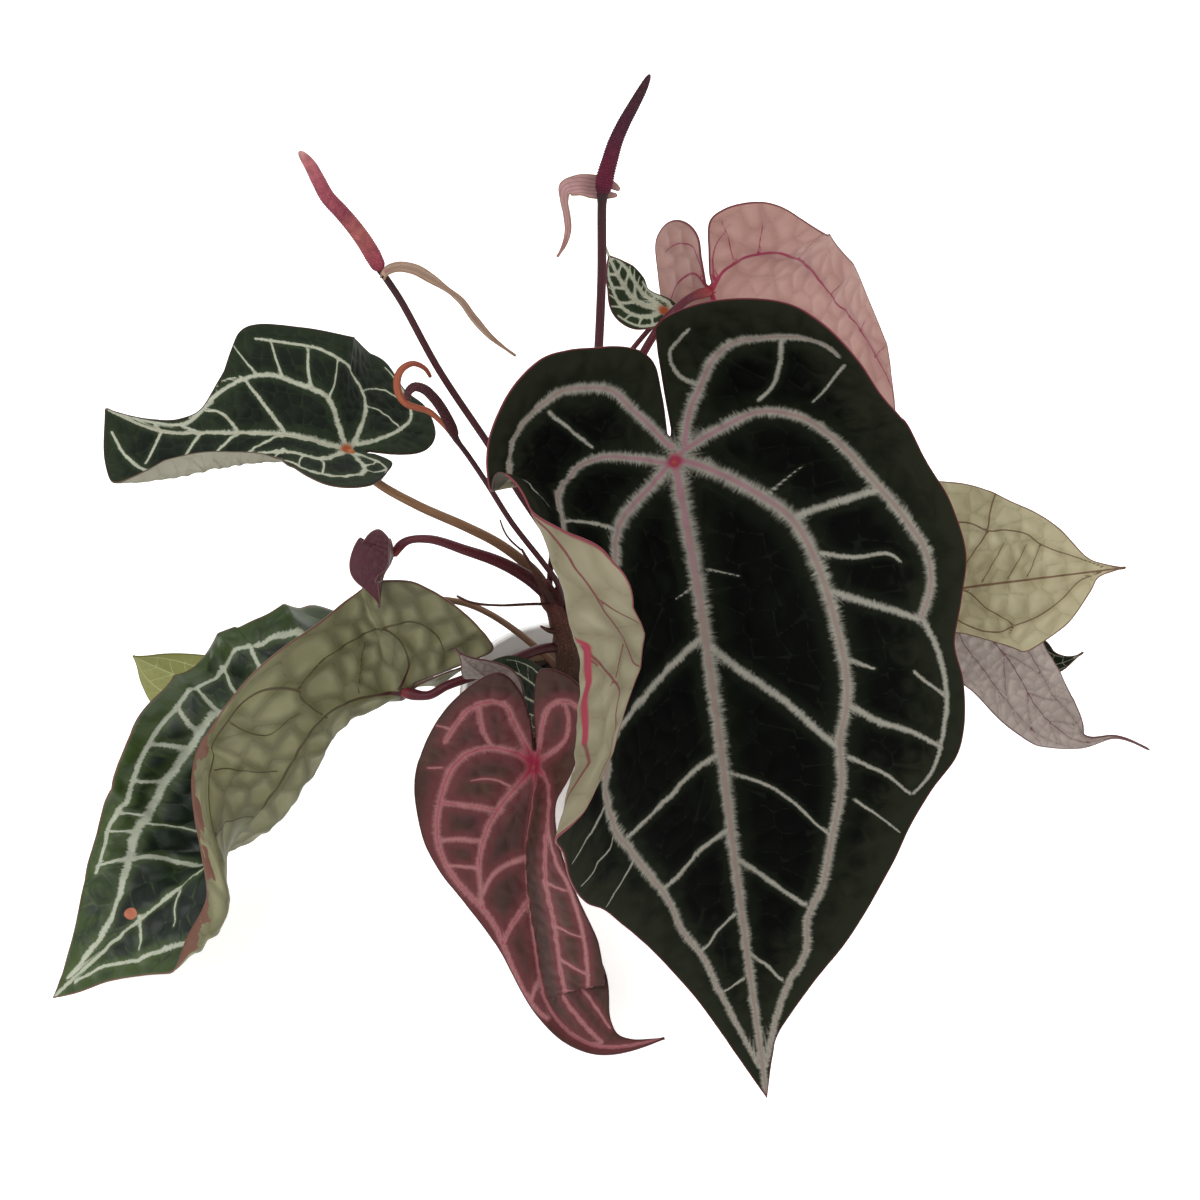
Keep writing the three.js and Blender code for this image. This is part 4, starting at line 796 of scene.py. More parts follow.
# %% The twelve blades
LEAVES = {
    "great": {
        "width": 145, "thick": 1.0,
        "knots": [
            [51, 0, 418], [66, -30, 337], [77, -80, 297], [89, -130, 235], [104, -182, 139],
            [124, -240, 14],
        ],
        "face": [
            [-0.12, -0.68, 0.72], [-0.1, -0.68, 0.72], [0, -0.69, 0.73], [0, -0.69, 0.73],
            [0, -0.75, 0.66], [0, -0.75, 0.66],
        ],
        "right": [
            [395, 0], [386, 2], [366, 7], [350, 13], [320, 36], [291, 61], [250, 88], [224, 103],
            [205, 117], [188, 132], [170, 138], [146, 140], [125, 138], [104, 145], [80, 152],
            [56, 148], [34, 139], [0, 133], [-28, 124], [-57, 116], [-80, 104], [-93, 86], [-96, 58],
            [-92, 28], [-82, 5], [-68, 1], [-15, 0],
        ],
        "left": [
            [395, 0], [372, 10], [344, 22], [320, 33], [300, 44], [272, 62], [245, 84], [232, 96],
            [221, 111], [200, 130], [183, 144], [175, 155], [166, 172], [153, 178], [131, 174],
            [112, 175], [89, 178], [72, 182], [63, 178], [57, 163], [50, 153], [40, 152],
            [20, 150], [-20, 140], [-50, 131], [-66, 120], [-80, 100], [-87, 76],
            [-85, 56], [-80, 38], [-77, 27], [-73, 17], [-67, 8], [-57, 2], [-40, 1], [-15, 0],
        ],
        "cup": [[30, 22], [32, 14], [34, 14], [34, 12], [25, 12], [0, 0]],
        "curl": [[30, 5], [35, 0], [45, -8], [40, -8], [15, -10], [0, 0]],
        "wave": {"side": 1, "height": 4, "count": 3.2, "phase": 0.1},
        "folds": [
            {
                "side": -1,
                "radius": 6,
                "at": [
                    [30, 156, 0], [44, 152, 30], [56, 147, 60], [66, 146, 95], [82, 136, 130],
                    [94, 124, 145], [109, 126, 150], [124, 133, 155], [142, 142, 160], [152, 155, 160],
                    [164, 168, 150], [180, 182, 120],
                ],
            },
        ],
        "petiole": {
            "route": [[1, -1, 168], [14, 4, 192], [32, 8, 232], [50, 2, 276], [62, -18, 318]],
            "radii": [4, 3], "skin": "maroon_skin",
        },
    },
    "left": {
        "width": 100, "thick": 1.0,
        "knots": [
            [-60, -24, 172], [-104, -35, 159], [-145, -65, 161], [-180, -95, 127], [-222, -120, 92],
            [-271, -145, 59], [-324, -165, 14],
        ],
        "face": [
            [-0.51, 0.76, 0.41], [-0.6, 0.71, 0.37], [-0.6, 0.71, 0.37], [-0.62, 0.59, 0.52],
            [-0.46, -0.21, 0.86], [-0.26, -0.37, 0.89], [-0.19, -0.52, 0.83],
        ],
        "right": [
            [305, 0], [285, 10], [262, 19], [238, 34], [215, 52], [190, 68], [160, 72], [128, 66],
            [95, 60], [60, 59], [40, 60], [23, 67], [5, 72], [-12, 74], [-26, 71], [-37, 66],
            [-46, 56], [-53, 45], [-58, 35], [-62, 24], [-65, 12], [-64, 3], [-48, 1], [-10, 0],
        ],
        "left": [
            [305, 0], [287, 9], [262, 25], [240, 44], [223, 58], [208, 74], [195, 91], [179, 112],
            [162, 126], [145, 138], [128, 147], [103, 159], [80, 161], [58, 146], [37, 133], [25, 125],
            [14, 124], [5, 131], [-6, 108], [-18, 72], [-32, 42], [-42, 22], [-42, 6], [-28, 1], [-8, 0],
        ],
        "cup": [[10, 45], [-10, 42], [-40, 40], [-50, 40], [-50, 5], [5, 5], [0, 0]],
        "curl": [[50, 15], [30, 20], [0, 20], [0, 20], [20, 0], [20, 5], [0, 0]],
        "folds": [
            {
                "side": 1,
                "radius": 5,
                "at": [
                    [95, 44, 0], [120, 44, 60], [145, 46, 110], [170, 48, 140], [200, 46, 150],
                    [250, 45, 150],
                ],
            },
            {
                "side": -1,
                "radius": 13,
                "at": [
                    [-20, 3, 0], [20, 3, 90], [60, 3, 120], [110, 8, 122],
                    [150, 20, 115], [185, 26, 90], [215, 24, 30], [240, 20, 0],
                ],
            },
        ],
        "petiole": {
            "route": [
                [1, -1, 165], [-14, -9, 171], [-40, -27, 173.5], [-57, -31.5, 168.5], [-74, -37, 165],
                [-86, -39.5, 159],
            ],
            "radii": [3.4, 2.8], "skin": "maroon_skin",
        },
    },
    "red": {
        "width": 70, "thick": 1.0,
        "knots": [
            [-19, -85, 207], [-17, -95, 153], [-23, -125, 109], [-18, -154, 63], [-8, -182, 27],
            [23, -219, 38], [62, -217, 44],
        ],
        "face": [
            [-0.1, -0.61, 0.79], [-0.15, -0.68, 0.72], [-0.15, -0.75, 0.65], [-0.1, -0.75, 0.65],
            [0, -0.75, 0.66], [0.1, -0.21, 0.97], [0, 0.29, 0.96],
        ],
        "right": [
            [245, 0], [236, 2], [226, 4], [217, 8], [211, 16], [204, 28], [196, 37], [186, 46], [175, 54],
            [160, 55], [140, 54], [122, 58], [96, 59], [62, 56],
            [34, 48], [12, 42], [-12, 40], [-34, 36], [-52, 34], [-66, 24], [-70, 8], [-48, 2],
            [-10, 0],
        ],
        "left": [
            [245, 0], [230, 3], [210, 5], [180, 7], [154, 10], [130, 17], [104, 28], [84, 41],
            [66, 56], [46, 68], [22, 74], [-12, 68], [-42, 54], [-62, 35], [-70, 16], [-50, 4],
            [-10, 0],
        ],
        "cup": [[10, 0], [10, 55], [5, 78], [5, 72], [0, 60], [0, 20], [0, 0]],
        "curl": [[-10, 10], [-10, 0], [-15, -70], [-20, -80], [-20, -60], [0, 0], [0, 0]],
        "petiole": {
            "route": [[4, -2, 122], [-4, -20, 132], [-10, -50, 132], [-15, -76, 133], [-17, -91, 146]],
            "radii": [2.8, 2.2], "skin": "maroon_skin",
        },
    },
    "upper": {
        "width": 75, "thick": 1.0,
        "knots": [
            [-108, 28, 298], [-130, 20, 308], [-162, 15, 322], [-200, 8, 329], [-234, 0, 336],
            [-263, -5, 356],
        ],
        "face": [
            [0, -0.34, 0.94], [0, -0.34, 0.94], [0, -0.34, 0.94], [0, -0.42, 0.91], [-0.1, -0.51, 0.86],
            [-0.21, -0.58, 0.79],
        ],
        "right": [
            [146, 0], [142, 10], [135, 28], [126, 42], [112, 47], [95, 47], [75, 43], [55, 38],
            [40, 34], [27, 41], [14, 45], [0, 42], [-10, 34], [-20, 20], [-27, 8], [-18, 1], [-5, 0],
        ],
        "left": [
            [146, 0], [130, 3], [116, 6], [100, 9], [87, 15], [77, 32], [70, 50], [64, 62], [54, 67],
            [36, 68], [16, 70], [-12, 75], [-34, 70], [-46, 50], [-59, 38], [-62, 18], [-48, 4], [-20, 0],
        ],
        "cup": [[5, 20], [10, 25], [15, 25], [15, 20], [10, 10], [0, 0]],
        "curl": [[0, 0], [10, 0], [10, 0], [10, 0], [0, 0], [0, 0]],
        "folds": [
            {
                "side": 1,
                "radius": 3,
                "at": [[30, 44, 0], [42, 29, 100], [60, 29, 150], [110, 31, 150], [130, 37, 120]],
            },
        ],
        "petiole": {
            "route": [
                [-8, 0, 206], [-16, 8, 218], [-28, 9, 232], [-42, 9, 245], [-60, 9, 257], [-90, 12, 272],
                [-115, 16, 288],
            ],
            "radii": [3.4, 2.6], "skin": "tan_skin",
        },
    },
    "pink": {
        "width": 100, "thick": 1.0,
        "knots": [[82, 85, 424], [90, 75, 385], [115, 66, 335], [157, 58, 264], [205, 55, 181]],
        "face": [[0, 0.61, -0.79]] * 5,
        "right": [
            [235, 0], [190, 45], [130, 74], [80, 76], [40, 62], [13, 48], [-5, 47], [-23, 47],
            [-34, 39], [-41, 26], [-41, 12], [-34, 3], [-20, 1], [-5, 0],
        ],
        "left": [
            [235, 0], [205, 40], [172, 72], [150, 90], [128, 112], [100, 121], [70, 118], [30, 100],
            [-12, 79], [-36, 59], [-46, 44], [-49, 30], [-48, 16], [-42, 6], [-24, 3], [-5, 0],
        ],
        "cup": [[5, 60], [5, 62], [10, 60], [10, 50], [0, 0]],
        "curl": [[10, 0], [15, 0], [20, 0], [20, 0], [0, 0]],
        "petiole": {
            "route": [
                [-6, 0, 203], [2, 10, 222], [14, 22, 262], [30, 36, 315], [46, 48, 352], [60, 56, 374],
                [76, 65, 386],
            ],
            "radii": [3, 2.4], "skin": "maroon_skin",
        },
    },
    "pale": {
        "width": 60, "thick": 1.0,
        "knots": [[177, 5, 190], [200, -3, 206], [250, -15, 228], [291, -25, 244], [339, -35, 261]],
        "face": [AWAY] * 5,
        "right": [
            [153, 0], [147, 1], [136, 4], [130, 12], [116, 28], [102, 37], [87, 44], [79, 41],
            [68, 36], [56, 31], [44, 27], [20, 24], [0, 22], [-20, 18], [-25, 8], [-15, 1], [-5, 0],
        ],
        "left": [
            [153, 0], [140, 4], [130, 10], [117, 28], [104, 40], [88, 50], [76, 58], [57, 66],
            [30, 70], [0, 62], [-20, 44], [-28, 20], [-18, 3], [-5, 0],
        ],
        "cup": [[5, 5]] * 5,
        "curl": [[0, 0]] * 5,
        "petiole": {
            "route": [
                [2, 0, 152], [20, 16, 176], [60, 28, 206], [110, 20, 228], [160, -4, 230],
                [190, -14, 220],
            ],
            "radii": [2.8, 2.2], "skin": "maroon_skin",
        },
    },
    "grey": {
        "width": 60, "thick": 1.0,
        "knots": [
            [231, 25, 217], [253, 20, 187], [289, 10, 148], [327, 0, 94], [347, -3, 81], [369, -8, 90],
            [392, -12, 82],
        ],
        "face": [AWAY] * 4 + [[0.1, 0.99, -0.07], [0.2, 0.96, 0.21], [0.2, 0.96, 0.21]],
        "right": [
            [194, 0], [170, 1], [158, 3], [144, 7], [135, 12], [124, 17], [108, 21], [98, 24],
            [86, 27], [64, 31], [40, 34], [0, 34], [-20, 24], [-28, 10], [-18, 1], [-5, 0],
        ],
        "left": [
            [194, 0], [170, 2], [158, 3], [152, 5], [142, 11], [128, 19], [117, 25], [98, 28],
            [81, 27], [68, 26], [40, 30], [0, 30], [-20, 22], [-28, 8], [-18, 1], [-5, 0],
        ],
        "cup": [[5, 5]] * 7,
        "curl": [[0, 0]] * 7,
        "petiole": {
            "route": [
                [3, -1, 140], [24, 10, 156], [75, 18, 174], [150, 12, 184], [205, -2, 186],
                [240, 4, 188],
            ],
            "radii": [2.6, 2], "skin": "maroon_skin",
        },
    },
    "small": {
        "width": 20, "thick": 0.8,
        "knots": [[68, 84, 362], [62, 82, 367], [46, 79, 375], [34, 74, 396], [25, 70, 424]],
        "face": [[0, -0.61, 0.79]] * 5,
        "right": [
            [60, 0], [53, 5], [42, 12], [30, 18], [18, 19], [8, 15], [-2, 11], [-11, 8],
            [-14, 4], [-12, 1], [-4, 0],
        ],
        "left": [
            [60, 0], [53, 6], [43, 11], [31, 13], [20, 12], [9, 9], [-2, 8], [-10, 6], [-13, 3],
            [-11, 1], [-4, 0],
        ],
        "cup": [[15, 15]] * 5,
        "curl": [[0, 0]] * 5,
        "petiole": {
            "route": [
                [-5, 0, 186], [-9, 14, 203], [-4, 30, 240], [14, 52, 295], [38, 74, 336],
                [56, 83, 357],
            ],
            "radii": [2, 1.6], "skin": "maroon_skin",
        },
    },
    "maroon": {
        "width": 27, "thick": 0.8, "lobe": 2.2,
        "knots": [[-104, -10, 262], [-104, -12, 250], [-110, -16, 239], [-112, -22, 230], [-113, -26, 221]],
        "face": [[-0.5, -0.58, 0.64]] * 5,
        "cup": [[0, 50]] * 5,
        "curl": [[20, 20]] * 5,
        "petiole": {
            "route": [
                [-10, 0, 210], [-22, -3, 226], [-39, -6, 241], [-59, -8, 252], [-81, -7, 260],
                [-96, -7, 258],
            ],
            "radii": [4.8, 2], "skin": "maroon_skin",
        },
    },
    "curled": {
        "width": 20, "thick": 0.8,
        "knots": [[278, 60, 116], [288, 58, 113], [311, 50, 111], [334, 42, 110], [350, 38, 125]],
        "face": [[0, -0.53, 0.85]] * 5,
        "cup": [[30, 30]] * 5,
        "curl": [[30, 30]] * 5,
        "petiole": {
            "route": [
                [4, -2, 128], [20, 16, 140], [60, 40, 150], [150, 62, 150], [240, 68, 122],
                [276, 64, 106],
            ],
            "radii": [2.2, 1.6], "skin": "maroon_skin",
        },
    },
    "yellow": {
        "width": 38, "thick": 0.8,
        "knots": [[-212, 46, 74], [-224, 43, 81], [-250, 34, 99], [-271, 25, 121], [-286, 16, 142]],
        "face": [[0, 0.96, -0.29]] * 5,
        "right": [
            [92, 0], [83, 4], [70, 11], [50, 18], [27, 22], [4, 21], [-12, 15], [-18, 7], [-10, 1],
            [-3, 0],
        ],
        "left": [
            [92, 0], [81, 7], [65, 20], [45, 33], [22, 38], [2, 35], [-13, 25], [-19, 11], [-12, 2],
            [-3, 0],
        ],
        "cup": [[5, 20]] * 5,
        "curl": [[0, 0]] * 5,
        "petiole": {
            "route": [[3, -1, 132], [-16, 18, 144], [-70, 58, 152], [-140, 72, 132], [-200, 48, 98]],
            "radii": [2.4, 1.8], "skin": "tan_skin",
        },
    },
    "front": {
        "width": 26, "thick": 0.8, "lobe": 0.7,
        "knots": [[-5, -44, 145], [-12, -48, 156], [-31, -58, 180], [-50, -66, 204], [-64, -70, 228]],
        "face": [
            [0, -0.34, 0.94], [0, -0.34, 0.94], [0, -0.23, 0.97], [0, 0.97, 0.23], [0.21, 0.9, -0.38],
        ],
        "cup": [[10, 10]] * 5,
        "curl": [[0, 0]] * 5,
        "petiole": {
            "route": [[4, -2, 136], [-6, -14, 142], [-14, -33, 146]],
            "radii": [2, 1.6], "skin": "maroon_skin",
        },
    },
}
print(f"{len(LEAVES)} blades written down")

# %% [markdown]
# ## The skins of this plant
# Each skin is only a list of what differs from the usual values. Upper sides are dark
# velvet with silvery veins, undersides are pale, waxy and netted, and the young red
# blade has pink veins on brown. The left blade has dried in patches along its rim. Most
# undersides get a painted highlight on their quilted pillows and painted shade in the
# creases between them, and the velvet skin gets painted sheen along its margin.

# %% The skins of this plant
SKINS = {
    "velvet": {
        # Its margin band is painted sheen: a grey haze towards the margin in place of light caught at a
        # grazing angle
        "ground": [(0.35, "020202"), (0.6, "040503"), (0.8, "090c06")], "margin_tone_and_sheen": "1f2117", "edge": 0.8,
        "edge_reach": 42.0, "silver": "7f7c72", "core": "7d5c62", "core_far": "73655e", "heart": "7c2a40",
        "rim": "52262a", "reach": (0.0, 1.35), "core_reach": (0.1, 0.5), "heart_reach": (2.0, 7.0),
        "rim_reach": 0.8, "fray": 2.4, "halo": 0.6, "halo_tone": "161a10", "halo_reach": 4.0, "net": 0.3,
        "net_and_crease_shade_tone": "1a1e14", "roughness": 0.7, "sheen": 0.0, "specular": 0.04, "bump": 0.6,
    },
    "pale_under": {
        "ground": [(0.3, "655e49"), (0.55, "777059"), (0.8, "888169")],
        "silver": "5a2a28", "core": "7c2434", "heart": "7c3644", "rim": "6a2c33",
        "reach": (0.1, 0.42), "core_reach": (0.2, 0.46), "heart_reach": (4.0, 12.0), "rim_reach": 1.3,
        "fray": 0.1, "halo": 0.3, "halo_tone": "574f3a", "net": 0.3, "net_and_crease_shade_tone": "524831", "crease_shade": 0.15,
        "crease_shade_reach": 5.0, "pillow_highlight": 0.18, "pillow_highlight_tone": "96907a", "roughness": 0.6, "sheen": 0.05,
        "bump": 0.4, "sunken": False, "spots": [(-149, 12, 15, "22241c")],
    },
    "green": {
        "ground": [(0.3, "0d130e"), (0.55, "141d15"), (0.8, "22301c")], "margin_tone_and_sheen": "33421c", "edge": 0.9,
        "edge_reach": 24.0, "silver": "a3a795", "core": "989c80", "heart": "7a3028", "rim": "5a3f2e",
        "reach": (0.3, 1.2), "core_reach": (0.05, 0.25), "heart_reach": (4.0, 12.0), "rim_reach": 1.2,
        "fray": 2.4, "halo": 0.5, "halo_tone": "46552f", "halo_reach": 4.0, "net": 0.35, "net_and_crease_shade_tone": "4c5a34",
        "roughness": 0.4, "sheen": 0.0, "specular": 0.28, "bump": 0.5, "spots": [(-7, 227, 3.6, "b0654a")],
    },
    "green_under": {
        "ground": [(0.3, "56553a"), (0.55, "67654a"), (0.8, "7b785c")],
        "silver": "3c331c", "core": "3c2f1c", "heart": "3c1618", "rim": "5e3e30",
        "reach": (0.15, 0.55), "core_reach": (0.0, 0.2), "heart_reach": (8.0, 26.0), "rim_reach": 1.6,
        "rim_ragged": 9.0, "ragged_from": 80.0, "fray": 0.2, "halo": 0.5, "halo_tone": "4a4a28",
        "halo_reach": 4.0, "net": 0.35, "net_and_crease_shade_tone": "3c3c20", "crease_shade": 0.25, "crease_shade_reach": 6.0,
        "pillow_highlight": 0.25, "pillow_highlight_tone": "94926c", "roughness": 0.5, "sheen": 0.05, "bump": 0.4, "sunken": False,
    },
    "red": {
        "ground": [(0.3, "27130f"), (0.55, "381f18"), (0.8, "4a2f1f")],
        "silver": "8c5c5c", "core": "843848", "heart": "78102c", "rim": "3a1416",
        "reach": (-0.1, 1.5), "core_reach": (0.06, 0.35), "heart_reach": (3.0, 22.0), "rim_reach": 1.0,
        "fray": 1.6, "halo": 0.65, "halo_tone": "62282f", "halo_reach": 4.5, "net": 0.25,
        "net_and_crease_shade_tone": "542c28", "roughness": 0.55, "sheen": 0.03, "specular": 0.25, "bump": 0.5,
    },
    "maroon": {
        "ground": [(0.3, "32121a"), (0.55, "431b24"), (0.8, "552832")],
        "silver": "4c222b", "core": "3a141c", "heart": "4a1822", "rim": "5a3a38",
        "reach": (0.15, 0.8), "core_reach": (0.06, 0.2), "heart_reach": (1.0, 3.0), "rim_reach": 0.7,
        "fray": 0.3, "halo": 0.3, "halo_tone": "3a161e", "net": 0.3, "net_and_crease_shade_tone": "36141b",
        "roughness": 0.45, "sheen": 0.0, "specular": 0.25, "bump": 0.4,
    },
    "red_under": {
        "ground": [(0.3, "6a4242"), (0.55, "7a504e"), (0.8, "86605c")],
        "silver": "744448", "core": "6e2032", "heart": "78102c", "rim": "44181a",
        "reach": (0.15, 0.5), "core_reach": (0.12, 0.3), "heart_reach": (4.0, 12.0), "rim_reach": 1.2,
        "fray": 0.2, "net": 0.3, "net_and_crease_shade_tone": "5c3034", "roughness": 0.55, "sheen": 0.05, "bump": 0.4,
        "sunken": False,
    },
    "upper": {
        "ground": [(0.3, "090e09"), (0.55, "10180f"), (0.8, "1b2416")], "margin_tone_and_sheen": "232b1b",
        "edge_reach": 20.0, "silver": "a2a592", "core": "98907e", "heart": "8c4426", "rim": "3a2420",
        "reach": (0.2, 1.25), "core_reach": (0.05, 0.25), "heart_reach": (2.0, 6.0), "rim_reach": 0.8,
        "fray": 2.2, "halo": 0.5, "halo_tone": "2c3822", "halo_reach": 4.0, "net": 0.3, "net_and_crease_shade_tone": "2c3822",
        "roughness": 0.6, "sheen": 0.02, "specular": 0.12, "bump": 0.5,
    },
    "pink_under": {
        "ground": [(0.3, "86615b"), (0.55, "947067"), (0.8, "a27e75")],
        "silver": "7c3344", "core": "741f36", "heart": "7c1a32", "rim": "5c2226",
        "reach": (0.1, 0.42), "core_reach": (0.14, 0.34), "heart_reach": (5.0, 18.0), "rim_reach": 1.4,
        "fray": 0.1, "net": 0.3, "net_and_crease_shade_tone": "744c4a", "crease_shade": 0.18, "crease_shade_reach": 5.0, "pillow_highlight": 0.2,
        "pillow_highlight_tone": "b08f88", "roughness": 0.55, "sheen": 0.08, "bump": 0.4,
        "sunken": False, "halo_tone": "7a5250", "halo_reach": 3.0,
    },
    "sage_under": {
        "ground": [(0.3, "857c5e"), (0.55, "9c9476"), (0.8, "b0a88b")],
        "silver": "5a4430", "core": "5e4430", "heart": "70382e", "rim": "5c3e2a",
        "reach": (0.1, 0.45), "core_reach": (0.0, 0.2), "heart_reach": (4.0, 12.0), "rim_reach": 1.0,
        "fray": 0.1, "net": 0.35, "net_and_crease_shade_tone": "6e6648", "crease_shade": 0.15, "pillow_highlight": 0.15,
        "pillow_highlight_tone": "bcb498", "roughness": 0.55, "sheen": 0.05, "bump": 0.4,
        "sunken": False, "halo_tone": "746b4a", "halo_reach": 3.0,
    },
    "grey_under": {
        "ground": [(0.3, "756a64"), (0.55, "8a7f77"), (0.8, "9c9189")],
        "silver": "5e4444", "core": "543234", "heart": "60303a", "rim": "503030",
        "reach": (0.1, 0.4), "core_reach": (0.0, 0.2), "heart_reach": (4.0, 12.0), "rim_reach": 1.2,
        "fray": 0.1, "net": 0.35, "net_and_crease_shade_tone": "5c4c4a", "crease_shade": 0.15, "pillow_highlight": 0.15,
        "pillow_highlight_tone": "a89c94", "roughness": 0.55, "sheen": 0.05, "bump": 0.4,
        "sunken": False, "halo_tone": "645654", "halo_reach": 3.0,
    },
    "leaden_under": {
        "ground": [(0.3, "6d6a5c"), (0.55, "7d7a6b"), (0.8, "8c897a")],
        "silver": "63604f", "core": "544c3c", "heart": "60403a", "rim": "4a3c30",
        "reach": (0.15, 0.5), "core_reach": (0.14, 0.3), "heart_reach": (4.0, 12.0), "rim_reach": 0.8,
        "fray": 0.2, "net": 0.25, "net_and_crease_shade_tone": "56523f", "roughness": 0.55, "sheen": 0.03, "bump": 0.4,
        "sunken": False, "halo_tone": "5c5847", "halo_reach": 3.0,
    },
    "yellow": {
        "ground": [(0.3, "74763f"), (0.55, "84864c"), (0.8, "92945c")],
        "silver": "a4a678", "core": "9a9a6c", "heart": "84844c", "rim": "6a6638",
        "reach": (0.3, 1.0), "core_reach": (0.05, 0.2), "heart_reach": (3.0, 8.0), "rim_reach": 0.8,
        "fray": 0.4, "halo_tone": "8a8c50", "net_and_crease_shade_tone": "8f9160", "roughness": 0.55, "sheen": 0.05,
        "bump": 0.4,
    },
}
skins = {name: blade_skin(name + "_blade", look) for name, look in SKINS.items()}
print(f"{len(skins)} skins")

# %% [markdown]
# ## Dressing the blades
# A blade near the eye needs a finer sheet and traced veins. A small or hidden one does
# with coarser squares and the shared pattern, whose number says how wide its veins are.

# %% What each blade gets
# Upper skin, underside, record slot, square in mm, veins or the pattern's scale, relief in
# mm, cell in mm, and the half width from which a vein has a coloured cord of its own
DRESS = {
    "great": ("velvet", "pale_under", "dark_blade", 1.5, GREAT_VEINS, 2.2, 18, 4.0),
    "left": ("green", "green_under", "green_blade", 1.4, LEFT_VEINS, 3.4, 19, 0),
    "red": ("red", "red_under", "red_blade", 1.2, RED_VEINS, 1.4, 12, 2.6),
    "upper": ("upper", "leaden_under", "dark_blade", 1.1, 0.62, 1.4, 9, 0),
    "pink": ("velvet", "pink_under", "pink_blade", 1.5, PINK_VEINS, 2.2, 18, 0),
    "pale": ("upper", "sage_under", "pale_blade", 1.2, PALE_VEINS, 2.0, 14, 0),
    "grey": ("upper", "grey_under", "grey_blade", 1.2, 0.45, 2.2, 10, 0),
    "small": ("upper", "pale_under", "dark_blade", 0.8, 0.55, 0.7, 6, 0),
    "maroon": ("maroon", "maroon", "red_blade", 0.8, 0.22, 1.2, 6, 0),
    "curled": ("upper", "sage_under", "pale_blade", 0.8, 0.22, 0.6, 6, 0),
    "yellow": ("yellow", "yellow", "pale_blade", 0.8, 0.25, 0.6, 6, 0),
    "front": ("upper", "grey_under", "grey_blade", 0.8, 0.22, 0.6, 6, 0),
}
print(f"{len(DRESS)} blades with their skins chosen")

# %% [markdown]
# ### Building them
# Each finished blade takes the place of its measured leaf.

# %% Build all blades
for name, facts in LEAVES.items():
    over, under, slot, spacing, veins, relief, cell, cored = DRESS[name]
    if isinstance(veins, float):
        veins = pattern(Blade(facts), veins)
    both = (skins[over], skins[under])
    piece = build_blade(name + "_blade", facts, spacing, both, veins, relief, cell, cored)
    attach(piece, "root")
    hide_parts(name + "_leaf")


# %% [markdown]
# ## Flower stalks and dry remains
# Three old flowers stand above the leaves. Each has a peduncle, a spadix at its end and a
# withered spathe, all written as routes like the petioles. The sheaths and threads are
# what is left of the wrappings of young leaves.

# %% Flowers, sheaths and threads
FLOWERS = {
    "left": {
        "peduncle": [
            [-3, 0, 190], [4, -2, 204], [4, -2, 222], [-5, 0, 248], [-25, 0, 289], [-42, 0, 325],
            [-69, 0, 379], [-88, 0, 426], [-97, 0, 444],
        ],
        "peduncleRadii": [2.3, 2],
        "spadix": [
            [-97.5, 0, 445], [-104, 0, 461], [-110, 0, 472], [-116, 0, 481], [-122.5, 0, 490],
            [-126.5, 0, 500], [-130, 0, 509], [-135, 0, 517],
        ],
        "spadixRadius": 4.6,
        "spadixTaper": 0.78,
    },
    "middle": {
        "peduncle": [
            [-2, 0, 190], [6, 12, 208], [10, 22, 232], [14, 30, 261], [21, 38, 346], [24, 40, 414],
            [24.4, 40, 468],
        ],
        "peduncleRadii": [2.8, 2.6],
        "spadix": [
            [24.6, 40, 469], [26, 42, 479], [28.6, 45, 488], [31.7, 48, 497.5], [36, 52, 506],
            [41, 55, 514.5], [46.5, 58, 524], [50.3, 60, 531.5],
        ],
        "spadixRadius": 4.9,
        "spadixTaper": 0.5,
    },
    "short": {
        "peduncle": [
            [-3, 0, 200], [-1, -8, 214], [-4, -9, 228], [-12, -9, 243], [-30, -10, 275],
            [-44, -11, 306], [-54, -12, 327], [-60.7, -12, 339.5],
        ],
        "peduncleRadii": [1.9, 1.6],
        "spadix": [
            [-61, -12, 340.5], [-64, -12, 351], [-68, -13, 362], [-72, -14, 370], [-77, -15, 376.5],
            [-82.2, -16, 378.5], [-86, -16.5, 374.5], [-85.3, -17, 369.5],
        ],
        "spadixRadius": 3,
        "spadixTaper": 0.85,
    },
}

